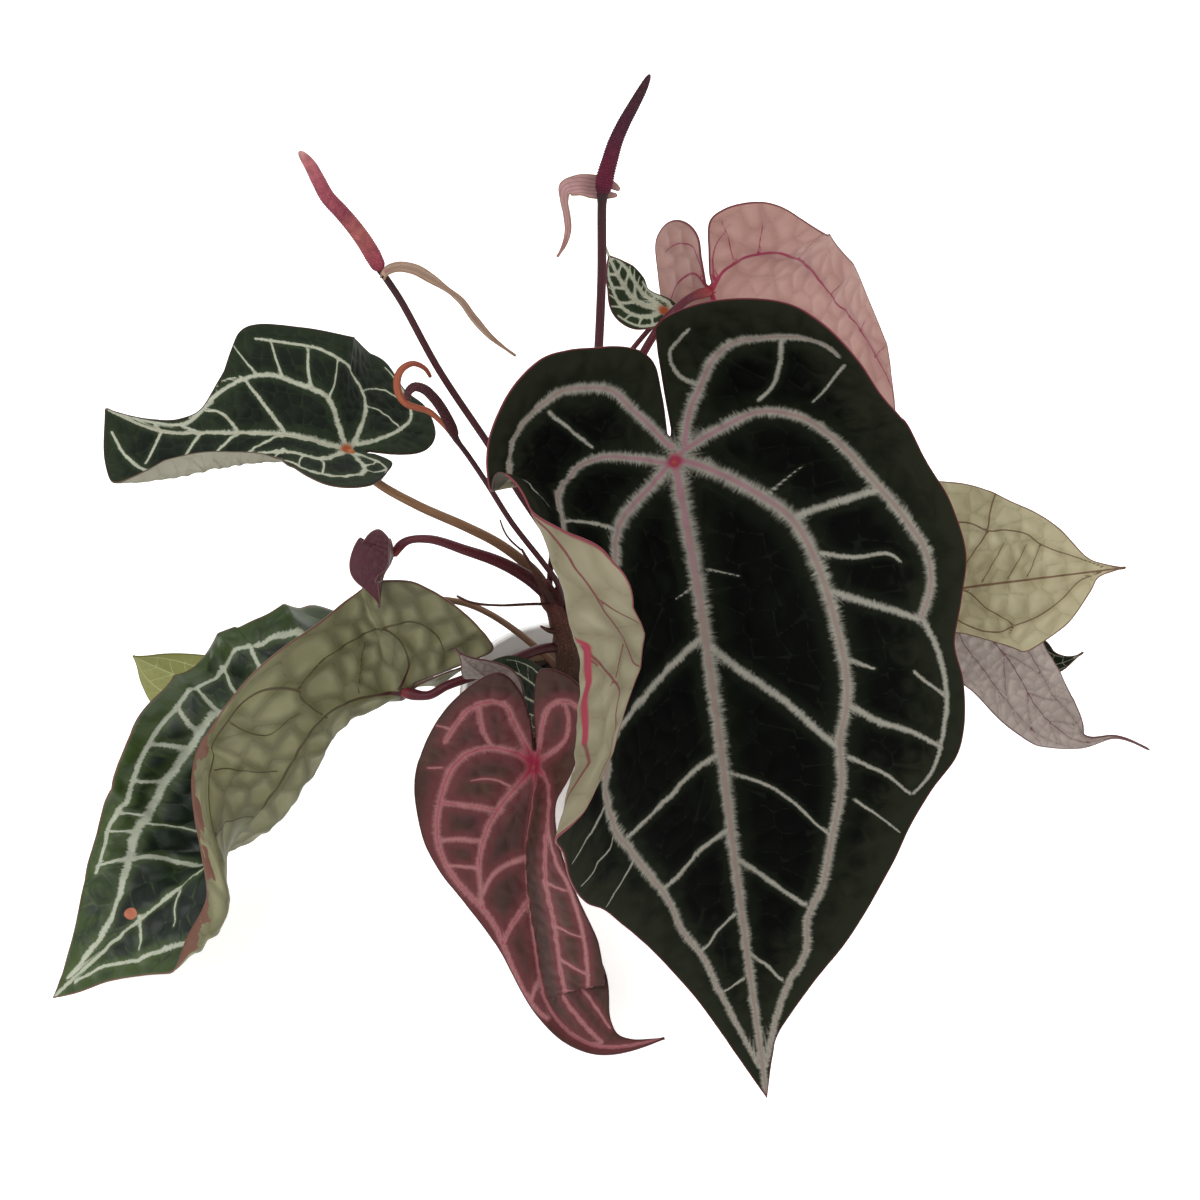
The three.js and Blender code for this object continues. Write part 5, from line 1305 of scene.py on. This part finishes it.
SPATHES = {
    "left": {
        "width": 3.4, "thick": 0.8,
        "knots": [
            [-97, -2.4, 438.5], [-94.3, -3, 445.5], [-87.3, -4.5, 449.4], [-79.2, -4.5, 448.1],
            [-70.3, -3, 441.8], [-62, -2, 434.8], [-54, -1, 427], [-47, 0, 415], [-38.4, 0, 402],
            [-24.7, 0, 388.7],
        ],
        "face": [
            [-0.3, -0.8, 0.5], [-0.3, -0.7, 0.6], [0, -0.6, 0.8], [0, -0.6, 0.8], [0.1, -0.8, 0.6],
            [-0.3, -0.9, 0.1], [-0.5, -0.8, 0.1], [-0.6, -0.6, 0.4], [-0.6, -0.6, 0.4],
            [-0.4, -0.8, 0.3],
        ],
        "shape": [
            [1, 0], [0.85, 0.45], [0.68, 0.95], [0.5, 0.8], [0.4, 0.55], [0.22, 0.95], [0.06, 0.9],
            [-0.03, 0.6], [-0.06, 0.25], [-0.03, 0],
        ],
        "cup": [[15, 15]] * 10,
        "curl": [[20, 20]] * 10,
    },
    "middle": {
        "width": 7, "thick": 0.8,
        "knots": [
            [33, 44.5, 468], [25.3, 47.6, 468.6], [17.5, 46, 470.7], [10.3, 43, 473], [4.2, 41, 472.2],
            [3.4, 40, 466], [4.6, 39, 457.7], [5.1, 38, 448], [2.7, 37, 439], [-1.3, 36, 431.8],
        ],
        "face": [
            [0.1, -0.7, 0.7], [0, -0.75, 0.66], [0, -0.75, 0.66], [-0.1, -0.75, 0.66], [-0.5, -0.8, 0.3],
            [-0.6, -0.8, 0.2], [-0.5, -0.9, 0], [-0.4, -0.9, 0], [-0.3, -0.9, 0], [-0.2, -0.9, 0],
        ],
        "shape": [
            [1, 0], [0.9, 0.17], [0.7, 0.3], [0.5, 0.36], [0.4, 0.5], [0.32, 0.75], [0.15, 1],
            [0, 0.95], [-0.09, 0.7], [-0.14, 0.35], [-0.12, 0.1], [-0.05, 0],
        ],
        "cup": [[10, 10]] * 10,
        "curl": [[20, 20]] * 10,
    },
}
SHORT_SPATHE = [
    [-60.6, -11, 336.5], [-65.3, -8.5, 343], [-70, -6, 348], [-76.6, -4, 353.4], [-82.3, -4, 355.5],
    [-88.5, -4, 358.3], [-92.6, -4, 365.3], [-93, -4, 375], [-89.7, -4, 382.6], [-83.2, -4, 386.3],
    [-77, -4, 383.3], [-73.6, -4, 376.5],
]

SHEATHS = {
    "tall_sheath": {
        "route": [[-7, -1, 205], [-10, -10, 218], [-17, -13, 238], [-25, -12, 257]],
        "radii": [3.2, 0.6],
    },
    "low_sheath": {"route": [[-1, 0, 180], [-9, -8, 186], [-15, -11, 193]], "radii": [2.8, 0.5]},
}
THREADS = {
    "long_thread": {
        "route": [[-5, 0, 198], [-14, -10, 210], [-40, -18, 216], [-56, -19, 219], [-66, -19, 225]],
        "radii": [0.9, 0.7],
    },
    "fine_thread": {"route": [[-24.4, -12, 255], [-33, -14, 268], [-37, -16, 283]], "radii": [0.6, 0.45]},
}
print(f"{len(FLOWERS)} flowers, {len(SHEATHS)} sheaths, {len(THREADS)} threads")

# %% [markdown]
# ## Stalks
# Petioles, flower stalks and the stem are round and taper. A curve with a bevel would
# give a tube, but no leaf scars or florets on it. So a flat sheet of squares is rolled
# round a smooth route, and the radius may change with every square. Its ends close to a
# point, so the stalk is one closed skin.

# %% Roll a sheet round a route
START_SIDE = (0.3, 1, 0.2)
THINNEST = 0.01


def roll(name, route, radius_at, around, step, finish, nodes):
    """A closed tube. radius_at takes the share of the length, the run and the angle."""
    path = resample(route, step)
    rows = len(path) - 1
    forward = np.gradient(path, axis=0)
    forward /= np.linalg.norm(forward, axis=1, keepdims=True)
    side, sides = np.cross(forward[0], START_SIDE), []
    for direction in forward:
        side = side - direction * side.dot(direction)
        side /= np.linalg.norm(side)
        sides.append(side)
    sides = np.array(sides)
    other = np.cross(forward, sides)
    length = np.linalg.norm(np.diff(path, axis=0), axis=1).sum()
    sheet = bmesh.new()
    bmesh.ops.create_grid(sheet, x_segments=around, y_segments=rows, size=0.5)
    grid = np.array([v.co.xy for v in sheet.verts]) + 0.5
    row = np.round(grid[:, 1] * rows).astype(int)
    angle = 2 * math.pi * np.round(grid[:, 0] * around) / around
    share = row / rows
    radius = radius_at(share, share * length, angle)
    to_end = np.minimum(share, 1 - share) * length
    end = np.clip(to_end / np.maximum(radius, THINNEST), 0, 1)
    radius = radius * np.sqrt(1 - (1 - end) ** 2)
    turned = np.stack([np.cos(angle), np.sin(angle)], -1) * radius[:, None]
    spots = path[row] + sides[row] * turned[:, :1] + other[row] * turned[:, 1:]
    rolled = sheet.verts.layers.float_vector.new("roll")
    shared = sheet.verts.layers.float.new("share")
    for v, spot, run, (y, z), part in zip(sheet.verts, spots, share * length, turned, share):
        v.co = spot * MM
        v[rolled] = (run, y, z)
        v[shared] = part
    bmesh.ops.remove_doubles(sheet, verts=sheet.verts[:], dist=1e-7)
    bmesh.ops.recalc_face_normals(sheet, faces=sheet.faces[:])
    return dress(name, sheet, [finish], nodes)


def dress(name, sheet, finishes, nodes):
    """Make an object of a bmesh, in its place, that stands for measured nodes."""
    mesh = bpy.data.meshes.new(name)
    sheet.to_mesh(mesh)
    sheet.free()
    for finish in finishes:
        mesh.materials.append(finish)
    mesh.shade_smooth()
    piece = bpy.data.objects.new(name, mesh)
    bpy.context.scene.collection.objects.link(piece)
    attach(piece, "root")
    if nodes:
        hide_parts(*nodes)
    return piece


KNUCKLE_SWELL = 0.35
KNUCKLE_LENGTH = 12


def petiole_radius(near, far, length):
    """Tapers away from the stem and swells to a knuckle just under the blade."""
    def at(share, run, angle):
        left = (1 - share) * length
        swell = 1 + KNUCKLE_SWELL * np.exp(-((left / KNUCKLE_LENGTH - 0.6) ** 2) * 4)
        return (near + (far - near) * share) * swell
    return at


def route_length(points):
    """Length of a route of straight pieces."""
    return np.linalg.norm(np.diff(np.array(points, float), axis=0), axis=1).sum()


# %% [markdown]
# ## Skins of the stalks
# A petiole has a smooth, slightly waxy skin with fine lengthwise lines and pale pores.
# Its colour changes along it, from dark red-brown at the stem to a warmer tone at the
# knuckle. The noise is stretched along the stalk, in millimetres.

# %% Build a stalk skin
def stalk_skin(name, stops, roughness, specks, speck_tone, bump=0.25, line=0.35):
    """A skin whose colour follows the share of the stalk's length."""
    skin, tree = new_finish(name)
    share = put(tree, "Attribute", attribute_name="share")
    rolled = put(tree, "Attribute", attribute_name="roll")
    tone = put(tree, "ValToRGB", {0: share.outputs["Fac"]}, stops=stops)
    along = put(tree, "Mapping", {0: rolled.outputs["Vector"], "Scale": (0.06, 0.9, 0.9)})
    lines = put(tree, "TexNoise", {"Vector": along.outputs[0], "Scale": 1.3, "Detail": 4.0})
    dark = put(tree, "MapRange", {0: lines.outputs["Fac"], 1: 0.35, 2: 0.7, 3: line, 4: 0.0})
    tone = put(tree, "Mix", {0: dark.outputs[0], 6: tone.outputs[0], 7: "120a0a"}, data_type="RGBA")
    pores = put(tree, "TexVoronoi", {"Vector": rolled.outputs["Vector"], "Scale": 0.55})
    dots = put(tree, "MapRange", {0: pores.outputs["Distance"], 1: 0.1, 2: 0.22, 3: specks, 4: 0.0})
    tone = put(tree, "Mix", {0: dots.outputs[0], 6: tone.outputs[2], 7: speck_tone}, data_type="RGBA")
    relief = put(tree, "Bump", {"Strength": bump, "Distance": 0.0005, "Height": lines.outputs["Fac"]})
    shader = put(tree, "BsdfPrincipled", {
        "Base Color": tone.outputs[2], "Roughness": roughness, "IOR": 1.45,
        "Specular IOR Level": 0.2, "Normal": relief.outputs[0],
    })
    put(tree, "OutputMaterial", {"Surface": shader.outputs[0]})
    return skin


STALKS = {
    "maroon_skin": stalk_skin(
        "waxy_petiole", [(0.0, "3a1418"), (0.5, "4a1a20"), (0.93, "56202a"), (1.0, "8a3030")],
        roughness=0.4, specks=0.35, speck_tone="8a5a50"),
    "tan_skin": stalk_skin(
        "tan_petiole", [(0.0, "5a3a2c"), (0.4, "7a5a42"), (0.9, "8f6a4c"), (1.0, "a8623a")],
        roughness=0.5, specks=0.2, speck_tone="b09a78"),
    "peduncle": stalk_skin(
        "flower_stalk", [(0.0, "3a181e"), (0.6, "482026"), (0.88, "3c1a20"), (1.0, "2a1618")],
        roughness=0.5, specks=0.2, speck_tone="6a4640"),
    "bark_stem": stalk_skin(
        "corky_stem", [(0.0, "3c2a20"), (0.6, "4a3428"), (1.0, "5a2c28")],
        roughness=0.8, specks=0.5, speck_tone="8a7258", bump=0.6, line=0.6),
    "dry_sheath": stalk_skin(
        "dry_sheath", [(0.0, "3a1c18"), (1.0, "5a3428")],
        roughness=0.75, specks=0.2, speck_tone="8a6a50", bump=0.8, line=0.7),
}
print(f"{len(STALKS)} stalk skins")

# %% [markdown]
# ## Petioles
# Each petiole is rolled from the stem to the second knot of its blade, so its end lies in
# the junction. The two oldest leaves have tan petioles and the rest are red-brown.

# %% Petioles
for name, facts in LEAVES.items():
    route = facts["petiole"]["route"] + [facts["knots"][1]]
    near, far = facts["petiole"]["radii"]
    radius = petiole_radius(near, far, route_length(route))
    skin = STALKS[facts["petiole"]["skin"]]
    slot = "tan_stalk" if facts["petiole"]["skin"] == "tan_skin" else "red_stalk"
    roll(name + "_stalk", route, radius, 20, 1.6, skin, [name + "_petiole"])
print(f"{len(LEAVES)} petioles")

# %% [markdown]
# ## Stem and dry sheaths
# The stem is short and corky. Each fallen leaf left a ring on it, and dry brown sheaths
# that once wrapped young leaves still stand at its top.

# %% Stem and sheaths
STEM_ROUTE = [
    [5, -2, 55], [4, -2, 110], [2, -1, 160], [-2, 0, 188], [-9, 0, 208], [-15, 0, 221],
]
STEM_RADII = np.array([[0, 9], [0.35, 9.5], [0.62, 8.5], [0.8, 7.5], [0.92, 6.2], [1, 4.8]])


def stem_radius(share, run, angle):
    """Rings of leaf scars and a knobbly bark."""
    ring = 0.45 * np.cos(2 * math.pi * share * 9)
    knobs = 0.35 * np.sin(5 * angle + run / 5) * np.cos(3 * angle - run / 3.3)
    return np.interp(share, STEM_RADII[:, 0], STEM_RADII[:, 1]) + ring + knobs


roll("scarred_stem", STEM_ROUTE, stem_radius, 40, 1.5, STALKS["bark_stem"], ["stem"])


def sheath_radius(near, far):
    """A shrivelled, ribbed taper."""
    def at(share, run, angle):
        return (near + (far - near) * share) * (1 + 0.18 * np.sin(6 * angle + run / 6))
    return at


for name, piece in {**SHEATHS, **THREADS}.items():
    radius = sheath_radius(*piece["radii"])
    roll("dry_" + name, piece["route"], radius, 18, 1.2, STALKS["dry_sheath"], [name])
print("stem, sheaths and threads")

# %% [markdown]
# ## Flowers
# An anthurium's flower is a spadix, a fleshy spike set all over with tiny florets, above
# a leaf-like spathe. The florets stand in slanting rows, so the spike's radius rises and
# falls in a slanted lattice, about a millimetre and a half apart. Old spathes are thin,
# dry and curled.

# %% Spadices
def spike_radius(thick, taper, floret):
    """A spike with florets in slanting rows, slimmer at the foot, tapering to a blunt tip."""
    def at(share, run, angle):
        foot = np.minimum(1, 0.8 + share * 1.6)
        tip = np.maximum(0.17, np.sqrt(1 - share ** 12))
        body = thick * foot * tip * (1 + (taper - 1) * share)
        lattice = np.cos(9 * angle + run * 2.1) * np.cos(9 * angle - run * 2.1)
        fade = floret * (1.4 - share)
        return body * (1 + fade * lattice)
    return at


def spike_skin(name, stops, roughness, tips):
    """A matt skin, paler on the floret tips."""
    skin, tree = new_finish(name)
    share = put(tree, "Attribute", attribute_name="share")
    rolled = put(tree, "Attribute", attribute_name="roll")
    tone = put(tree, "ValToRGB", {0: share.outputs["Fac"]}, stops=stops)
    cells = put(tree, "TexVoronoi", {"Vector": rolled.outputs["Vector"], "Scale": 0.8})
    bright = put(tree, "MapRange", {0: cells.outputs["Distance"], 1: 0.1, 2: 0.5, 3: 0.35, 4: 0.0})
    tone = put(tree, "Mix", {0: bright.outputs[0], 6: tone.outputs[0], 7: tips}, data_type="RGBA")
    cloud = put(tree, "TexNoise", {"Vector": rolled.outputs["Vector"], "Scale": 0.25, "Detail": 3.0})
    shade = put(tree, "MapRange", {0: cloud.outputs["Fac"], 1: 0.4, 2: 0.7, 3: 0.35, 4: 0.0})
    tone = put(tree, "Mix", {0: shade.outputs[0], 6: tone.outputs[2], 7: "2a0c14"}, data_type="RGBA")
    relief = put(tree, "Bump", {"Strength": 0.4, "Distance": 0.0005, "Height": cells.outputs["Distance"]},
                 invert=True)
    shader = put(tree, "BsdfPrincipled", {
        "Base Color": tone.outputs[2], "Roughness": roughness, "Specular IOR Level": 0.2,
        "Normal": relief.outputs[0],
    })
    put(tree, "OutputMaterial", {"Surface": shader.outputs[0]})
    return skin


ROSE = [
    (0.0, "6c2034"), (0.1, "843644"), (0.33, "90504c"), (0.5, "74303f"), (0.75, "8e4450"),
    (0.93, "9c5c60"), (1.0, "b08480"),
]
CRIMSON = [
    (0.0, "2c0e16"), (0.1, "540f28"), (0.3, "500f28"), (0.5, "360e20"), (0.8, "280e18"),
    (1.0, "281216"),
]
MAROON = [(0.0, "3a1618"), (0.6, "34141a"), (1.0, "3c1a20")]
SPIKES = {
    "left": (spike_skin("rose_spadix", ROSE, 0.75, "a8685c"), 0.05),
    "middle": (spike_skin("crimson_spadix", CRIMSON, 0.7, "7c2c44"), 0.12),
    "short": (spike_skin("maroon_spadix", MAROON, 0.6, "7a4a48"), 0.14),
}


def neck_radius(near, far, length):
    """Tapers, and widens to a neck in its last centimetre, under the spike."""
    def at(share, run, angle):
        return near + (far - near) * share + 0.9 * np.clip(1 - (length - run) / 9, 0, 1)
    return at


for name, flower in FLOWERS.items():
    foot, above = np.array(flower["spadix"][:2], float)
    route = flower["peduncle"] + [(foot + 0.35 * (above - foot)).tolist()]
    radius = neck_radius(*flower["peduncleRadii"], route_length(route))
    skin, stood_for = STALKS["peduncle"], [name + "_peduncle"]
    roll(name + "_flower_stalk", route, radius, 20, 1.6, skin, stood_for)
    skin, floret = SPIKES[name]
    radius = spike_radius(flower["spadixRadius"], flower["spadixTaper"], floret)
    roll(name + "_spike", flower["spadix"], radius, 72, 0.4, skin, [name + "_spadix"])
print(f"{len(FLOWERS)} flower stalks with their spikes")

# %% [markdown]
# ### Spathes
# A withered spathe is a small narrow blade, so it is cut and bent like the leaves, with
# five faint lengthwise veins in a papery skin. The short flower's has rolled up into a
# ring, which is a flattened stalk.

# %% Spathes
SPATHE_LOOKS = {
    "left": {
        "ground": [(0.3, "84705f"), (0.55, "96806e"), (0.8, "a8937f")], "silver": "7e6656",
        "core": "7a6050",
    },
    "middle": {
        "ground": [(0.3, "8c6a68"), (0.55, "9c7876"), (0.8, "aa8885")], "silver": "86605f",
        "core": "7c5656",
    },
}
PAPERY = {
    "heart": "8a5c58", "rim": "80604c", "reach": (0.4, 1.0), "core_reach": (0.1, 0.2),
    "heart_reach": (1.0, 4.0), "rim_reach": 0.5, "fray": 0.4, "roughness": 0.7, "sheen": 0.1,
    "bump": 0.3, "halo": 0.1,
}
VEIN_SPREAD = 0.3


def lengthwise_veins(blade):
    """Five faint veins that meet at the tip."""
    lines = []
    for k in (-2, -1, 0, 1, 2):
        across = k * blade.width * VEIN_SPREAD
        line = [(across, 0), (across, blade.length * 0.5), (0, blade.length)]
        lines.append((0.5, 0.3, line))
    return lines


for name, facts in SPATHES.items():
    skin = blade_skin(name + "_papery_spathe", {**PAPERY, **SPATHE_LOOKS[name]})
    lines = lengthwise_veins(Blade(facts))
    piece = build_blade(name + "_dry_spathe", facts, 0.8, (skin, skin), lines, 0.2)
    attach(piece, "root")
    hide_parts(name + "_spathe")
ring_skin = stalk_skin(
    "curled_spathe", [(0.0, "8a4a34"), (0.5, "9a5238"), (1.0, "7a3a2c")],
    roughness=0.5, specks=0.2, speck_tone="b07a5a")


def ring_radius(share, run, angle):
    """A flat band that curls into a ring."""
    return (0.8 + 1.1 * np.sin(math.pi * share)) * (1 + 0.28 * np.cos(2 * angle))


roll("short_dry_spathe", SHORT_SPATHE, ring_radius, 18, 0.8, ring_skin, ["short_spathe"])

# %% [markdown]
# ## Pots
# The outer pot is slip-cast porcelain with a thick white glaze, and the nursery pot in it
# is thin moulded plastic. Both are turned shapes, so each is one profile that is spun
# round the pot's axis.

# %% Spin a profile
MOST_OF_EDGE = 0.45


def spin(name, profile, steps, finish, nodes):
    """A closed turned shape from a profile of [radius, height] points in millimetres."""
    sheet = bmesh.new()
    row = [sheet.verts.new((r * MM, 0, z * MM)) for r, z in profile]
    edges = [sheet.edges.new(pair) for pair in zip(row, row[1:])]
    bmesh.ops.spin(sheet, geom=row + edges, axis=(0, 0, 1), cent=(0, 0, 0), steps=steps,
                   angle=2 * math.pi, use_merge=True)
    bmesh.ops.remove_doubles(sheet, verts=sheet.verts[:], dist=1e-6)
    bmesh.ops.recalc_face_normals(sheet, faces=sheet.faces[:])
    return dress(name, sheet, [finish], nodes)


def rounded(points, radius, steps=5):
    """The profile with its inner corners rounded by arcs of short chords."""
    points = [np.array(p, float) for p in points]
    out = [points[0]]
    for before, corner, after in zip(points, points[1:], points[2:]):
        a, b = before - corner, after - corner
        reach = min(radius, MOST_OF_EDGE * np.linalg.norm(a), MOST_OF_EDGE * np.linalg.norm(b))
        a, b = corner + a / np.linalg.norm(a) * reach, corner + b / np.linalg.norm(b) * reach
        for t in np.linspace(0, 1, steps):
            out.append((1 - t) ** 2 * a + 2 * t * (1 - t) * corner + t ** 2 * b)
    return out + [points[-1]]


# %% [markdown]
# ### Glaze and porcelain
# The glaze is a clear coat over a slightly uneven white body. The profile runs from the
# middle of the foot, up the outside, over the rim and down the inside to the floor.

# %% The outer pot
glaze, tree = new_finish("white_glaze")
place = put(tree, "TexCoord")
cloud = put(tree, "TexNoise", {"Vector": place.outputs["Object"], "Scale": 18.0, "Detail": 3.0})
tone = put(tree, "ValToRGB", {0: cloud.outputs["Fac"]}, stops=[(0.3, "dedbd7"), (0.7, "ebe9e6")])
relief = put(tree, "Bump", {"Strength": 0.05, "Distance": 0.001, "Height": cloud.outputs["Fac"]})
shader = put(tree, "BsdfPrincipled", {
    "Base Color": tone.outputs[0], "Roughness": 0.3, "IOR": 1.5, "Coat Weight": 0.6,
    "Coat Roughness": 0.12, "Normal": relief.outputs[0],
})
put(tree, "OutputMaterial", {"Surface": shader.outputs[0]})
POT = [(0, 0), (60, 0), (70, 126), (65, 126), (55.4, 6), (0, 6)]
spin("porcelain_pot", rounded(POT, 2.4), 128, glaze, ["outer_pot"])
print("outer pot spun")

# %% [markdown]
# ### Moulded plastic
# The nursery pot is one thin wall with a stepped lip, in a dull tan plastic.

# %% The nursery pot
plastic, tree = new_finish("moulded_polypropylene")
place = put(tree, "TexCoord")
cloud = put(tree, "TexNoise", {"Vector": place.outputs["Object"], "Scale": 60.0, "Detail": 4.0})
tone = put(tree, "ValToRGB", {0: cloud.outputs["Fac"]}, stops=[(0.3, "7a6450"), (0.7, "947c64")])
relief = put(tree, "Bump", {"Strength": 0.1, "Distance": 0.0005, "Height": cloud.outputs["Fac"]})
shader = put(tree, "BsdfPrincipled", {"Base Color": tone.outputs[0], "Roughness": 0.5, "IOR": 1.49,
                                      "Normal": relief.outputs[0]})
put(tree, "OutputMaterial", {"Surface": shader.outputs[0]})
NURSERY = [
    (0, 6.3), (48, 6.3), (55.1, 108), (57.5, 110), (57.5, 114), (53.5, 114), (53.1, 108),
    (46.1, 8.3), (0, 8.3),
]
spin("nursery_pot_shell", rounded(NURSERY, 0.7), 96, plastic, ["nursery_pot"])
print("nursery pot spun")

# %% [markdown]
# ## Bark
# The plant grows in coarse bark. Chips lie in all directions on top, so each one is a
# bevelled block, stretched, jostled and dropped at its own angle.

# %% Bark, on the soil as well
bark, tree = new_finish("pine_bark")
place = put(tree, "TexCoord")
grain = put(tree, "Mapping", {0: place.outputs["Object"], "Scale": (1, 1, 4)})
grain = put(tree, "TexNoise", {"Vector": grain.outputs[0], "Scale": 260.0, "Detail": 5.0})
cloud = put(tree, "TexNoise", {"Vector": place.outputs["Object"], "Scale": 70.0, "Detail": 2.0})
BARK_TONES = [(0.35, "1a1310"), (0.55, "33241a"), (0.75, "4d3827")]
tone = put(tree, "ValToRGB", {0: cloud.outputs["Fac"]}, stops=BARK_TONES)
relief = put(tree, "Bump", {"Strength": 0.6, "Distance": 0.0008, "Height": grain.outputs["Fac"]})
shader = put(tree, "BsdfPrincipled", {"Base Color": tone.outputs[0], "Roughness": 0.9,
                                      "Specular IOR Level": 0.2, "Normal": relief.outputs[0]})
put(tree, "OutputMaterial", {"Surface": shader.outputs[0]})
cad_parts["bark_soil"].material_slots[0].material = bark
print("bark on the measured soil")

# %% [markdown]
# ### Chips
# The soil's top rises and falls as the measured one does, and every chip lies on it.

# %% Bark chips
CHIPS = 230
SOIL_TOP = 105
LUMPS = 2.4
CHIP_SPREAD = 50
CHIP_BEVEL = 0.45
CHIP_JOSTLE = 0.5


def soil_height(x, y):
    """The lumpy top of the soil, in millimetres."""
    lumps = math.sin(x * 0.31 + 1.3) * math.cos(y * 0.27) + 0.6 * math.sin(x * 0.63 - y * 0.48 + 2)
    return SOIL_TOP + LUMPS * lumps


chance = np.random.default_rng(7)
chips = bmesh.new()
for number in range(CHIPS):
    r, turn = CHIP_SPREAD * math.sqrt(chance.random()), 2 * math.pi * chance.random()
    x, y = r * math.cos(turn), r * math.sin(turn)
    size = Vector((chance.uniform(5, 12), chance.uniform(3.5, 7), chance.uniform(1.5, 3.2)))
    rise = soil_height(x, y) + chance.uniform(0, 1.6)
    heading = Matrix.Rotation(chance.uniform(0, 6.3), 4, "Z")
    tilt = Matrix.Rotation(chance.normal(0, 0.35), 4, "X")
    roll_over = Matrix.Rotation(chance.normal(0, 0.35), 4, "Y")
    place = Matrix.Translation(Vector((x, y, rise)) * MM) @ heading @ tilt @ roll_over
    place = place @ Matrix.Diagonal(size * MM).to_4x4()
    chip = bmesh.ops.create_cube(chips, size=1, matrix=place)["verts"]
    for v in chip:
        v.co += Vector(chance.normal(0, CHIP_JOSTLE, 3)) * MM
    edges = list({e for v in chip for e in v.link_edges})
    bmesh.ops.bevel(chips, geom=edges, offset=CHIP_BEVEL * MM, segments=1, profile=0.5,
                    affect="EDGES", material=-1)
dress("bark_chips", chips, [bark], [])
print(f"{CHIPS} bark chips")

# %% [markdown]
# ## Floor and light
# A translucent white table that is lit from below, and large soft lights above it, stand
# in for the studio. The lit table takes away the shadows. They are not part of the plant.

# %% Floor and lights
floor_finish, tree = new_finish("studio_floor")
shader = put(tree, "BsdfPrincipled", {
    "Base Color": "fbfaf8", "Roughness": 0.7, "Emission Color": "ffffff", "Emission Strength": 0.45,
})
put(tree, "OutputMaterial", {"Surface": shader.outputs[0]})
sheet = bmesh.new()
bmesh.ops.create_grid(sheet, x_segments=1, y_segments=1, size=6)
mesh = bpy.data.meshes.new("floor")
sheet.to_mesh(mesh)
sheet.free()
mesh.materials.append(floor_finish)
floor = bpy.data.objects.new("floor", mesh)
bpy.context.scene.collection.objects.link(floor)


def soft_light(name, place, aim, size, watts):
    """A square area light that looks at a point."""
    data = bpy.data.lights.new(name, "AREA")
    data.size, data.energy = size, watts
    lamp = bpy.data.objects.new(name, data)
    lamp.location = place
    lamp.rotation_euler = (Vector(aim) - Vector(place)).to_track_quat("-Z", "Y").to_euler()
    bpy.context.scene.collection.objects.link(lamp)


middle = (0, -0.05, 0.2)
soft_light("key", (-0.9, -1.0, 1.7), middle, 1.6, 22)
soft_light("fill", (1.2, -0.8, 1.2), middle, 1.4, 12)
soft_light("back", (0.2, 1.3, 1.5), middle, 1.2, 10)
world = bpy.data.worlds.new("studio")
world.use_nodes = True
sky = world.node_tree.nodes["Background"]
sky.inputs["Color"].default_value = linear("f4f5f6")
sky.inputs["Strength"].default_value = 0.85
bpy.context.scene.world = world
bpy.context.scene.view_settings.view_transform = "Standard"
print("three soft lights over a lit table")
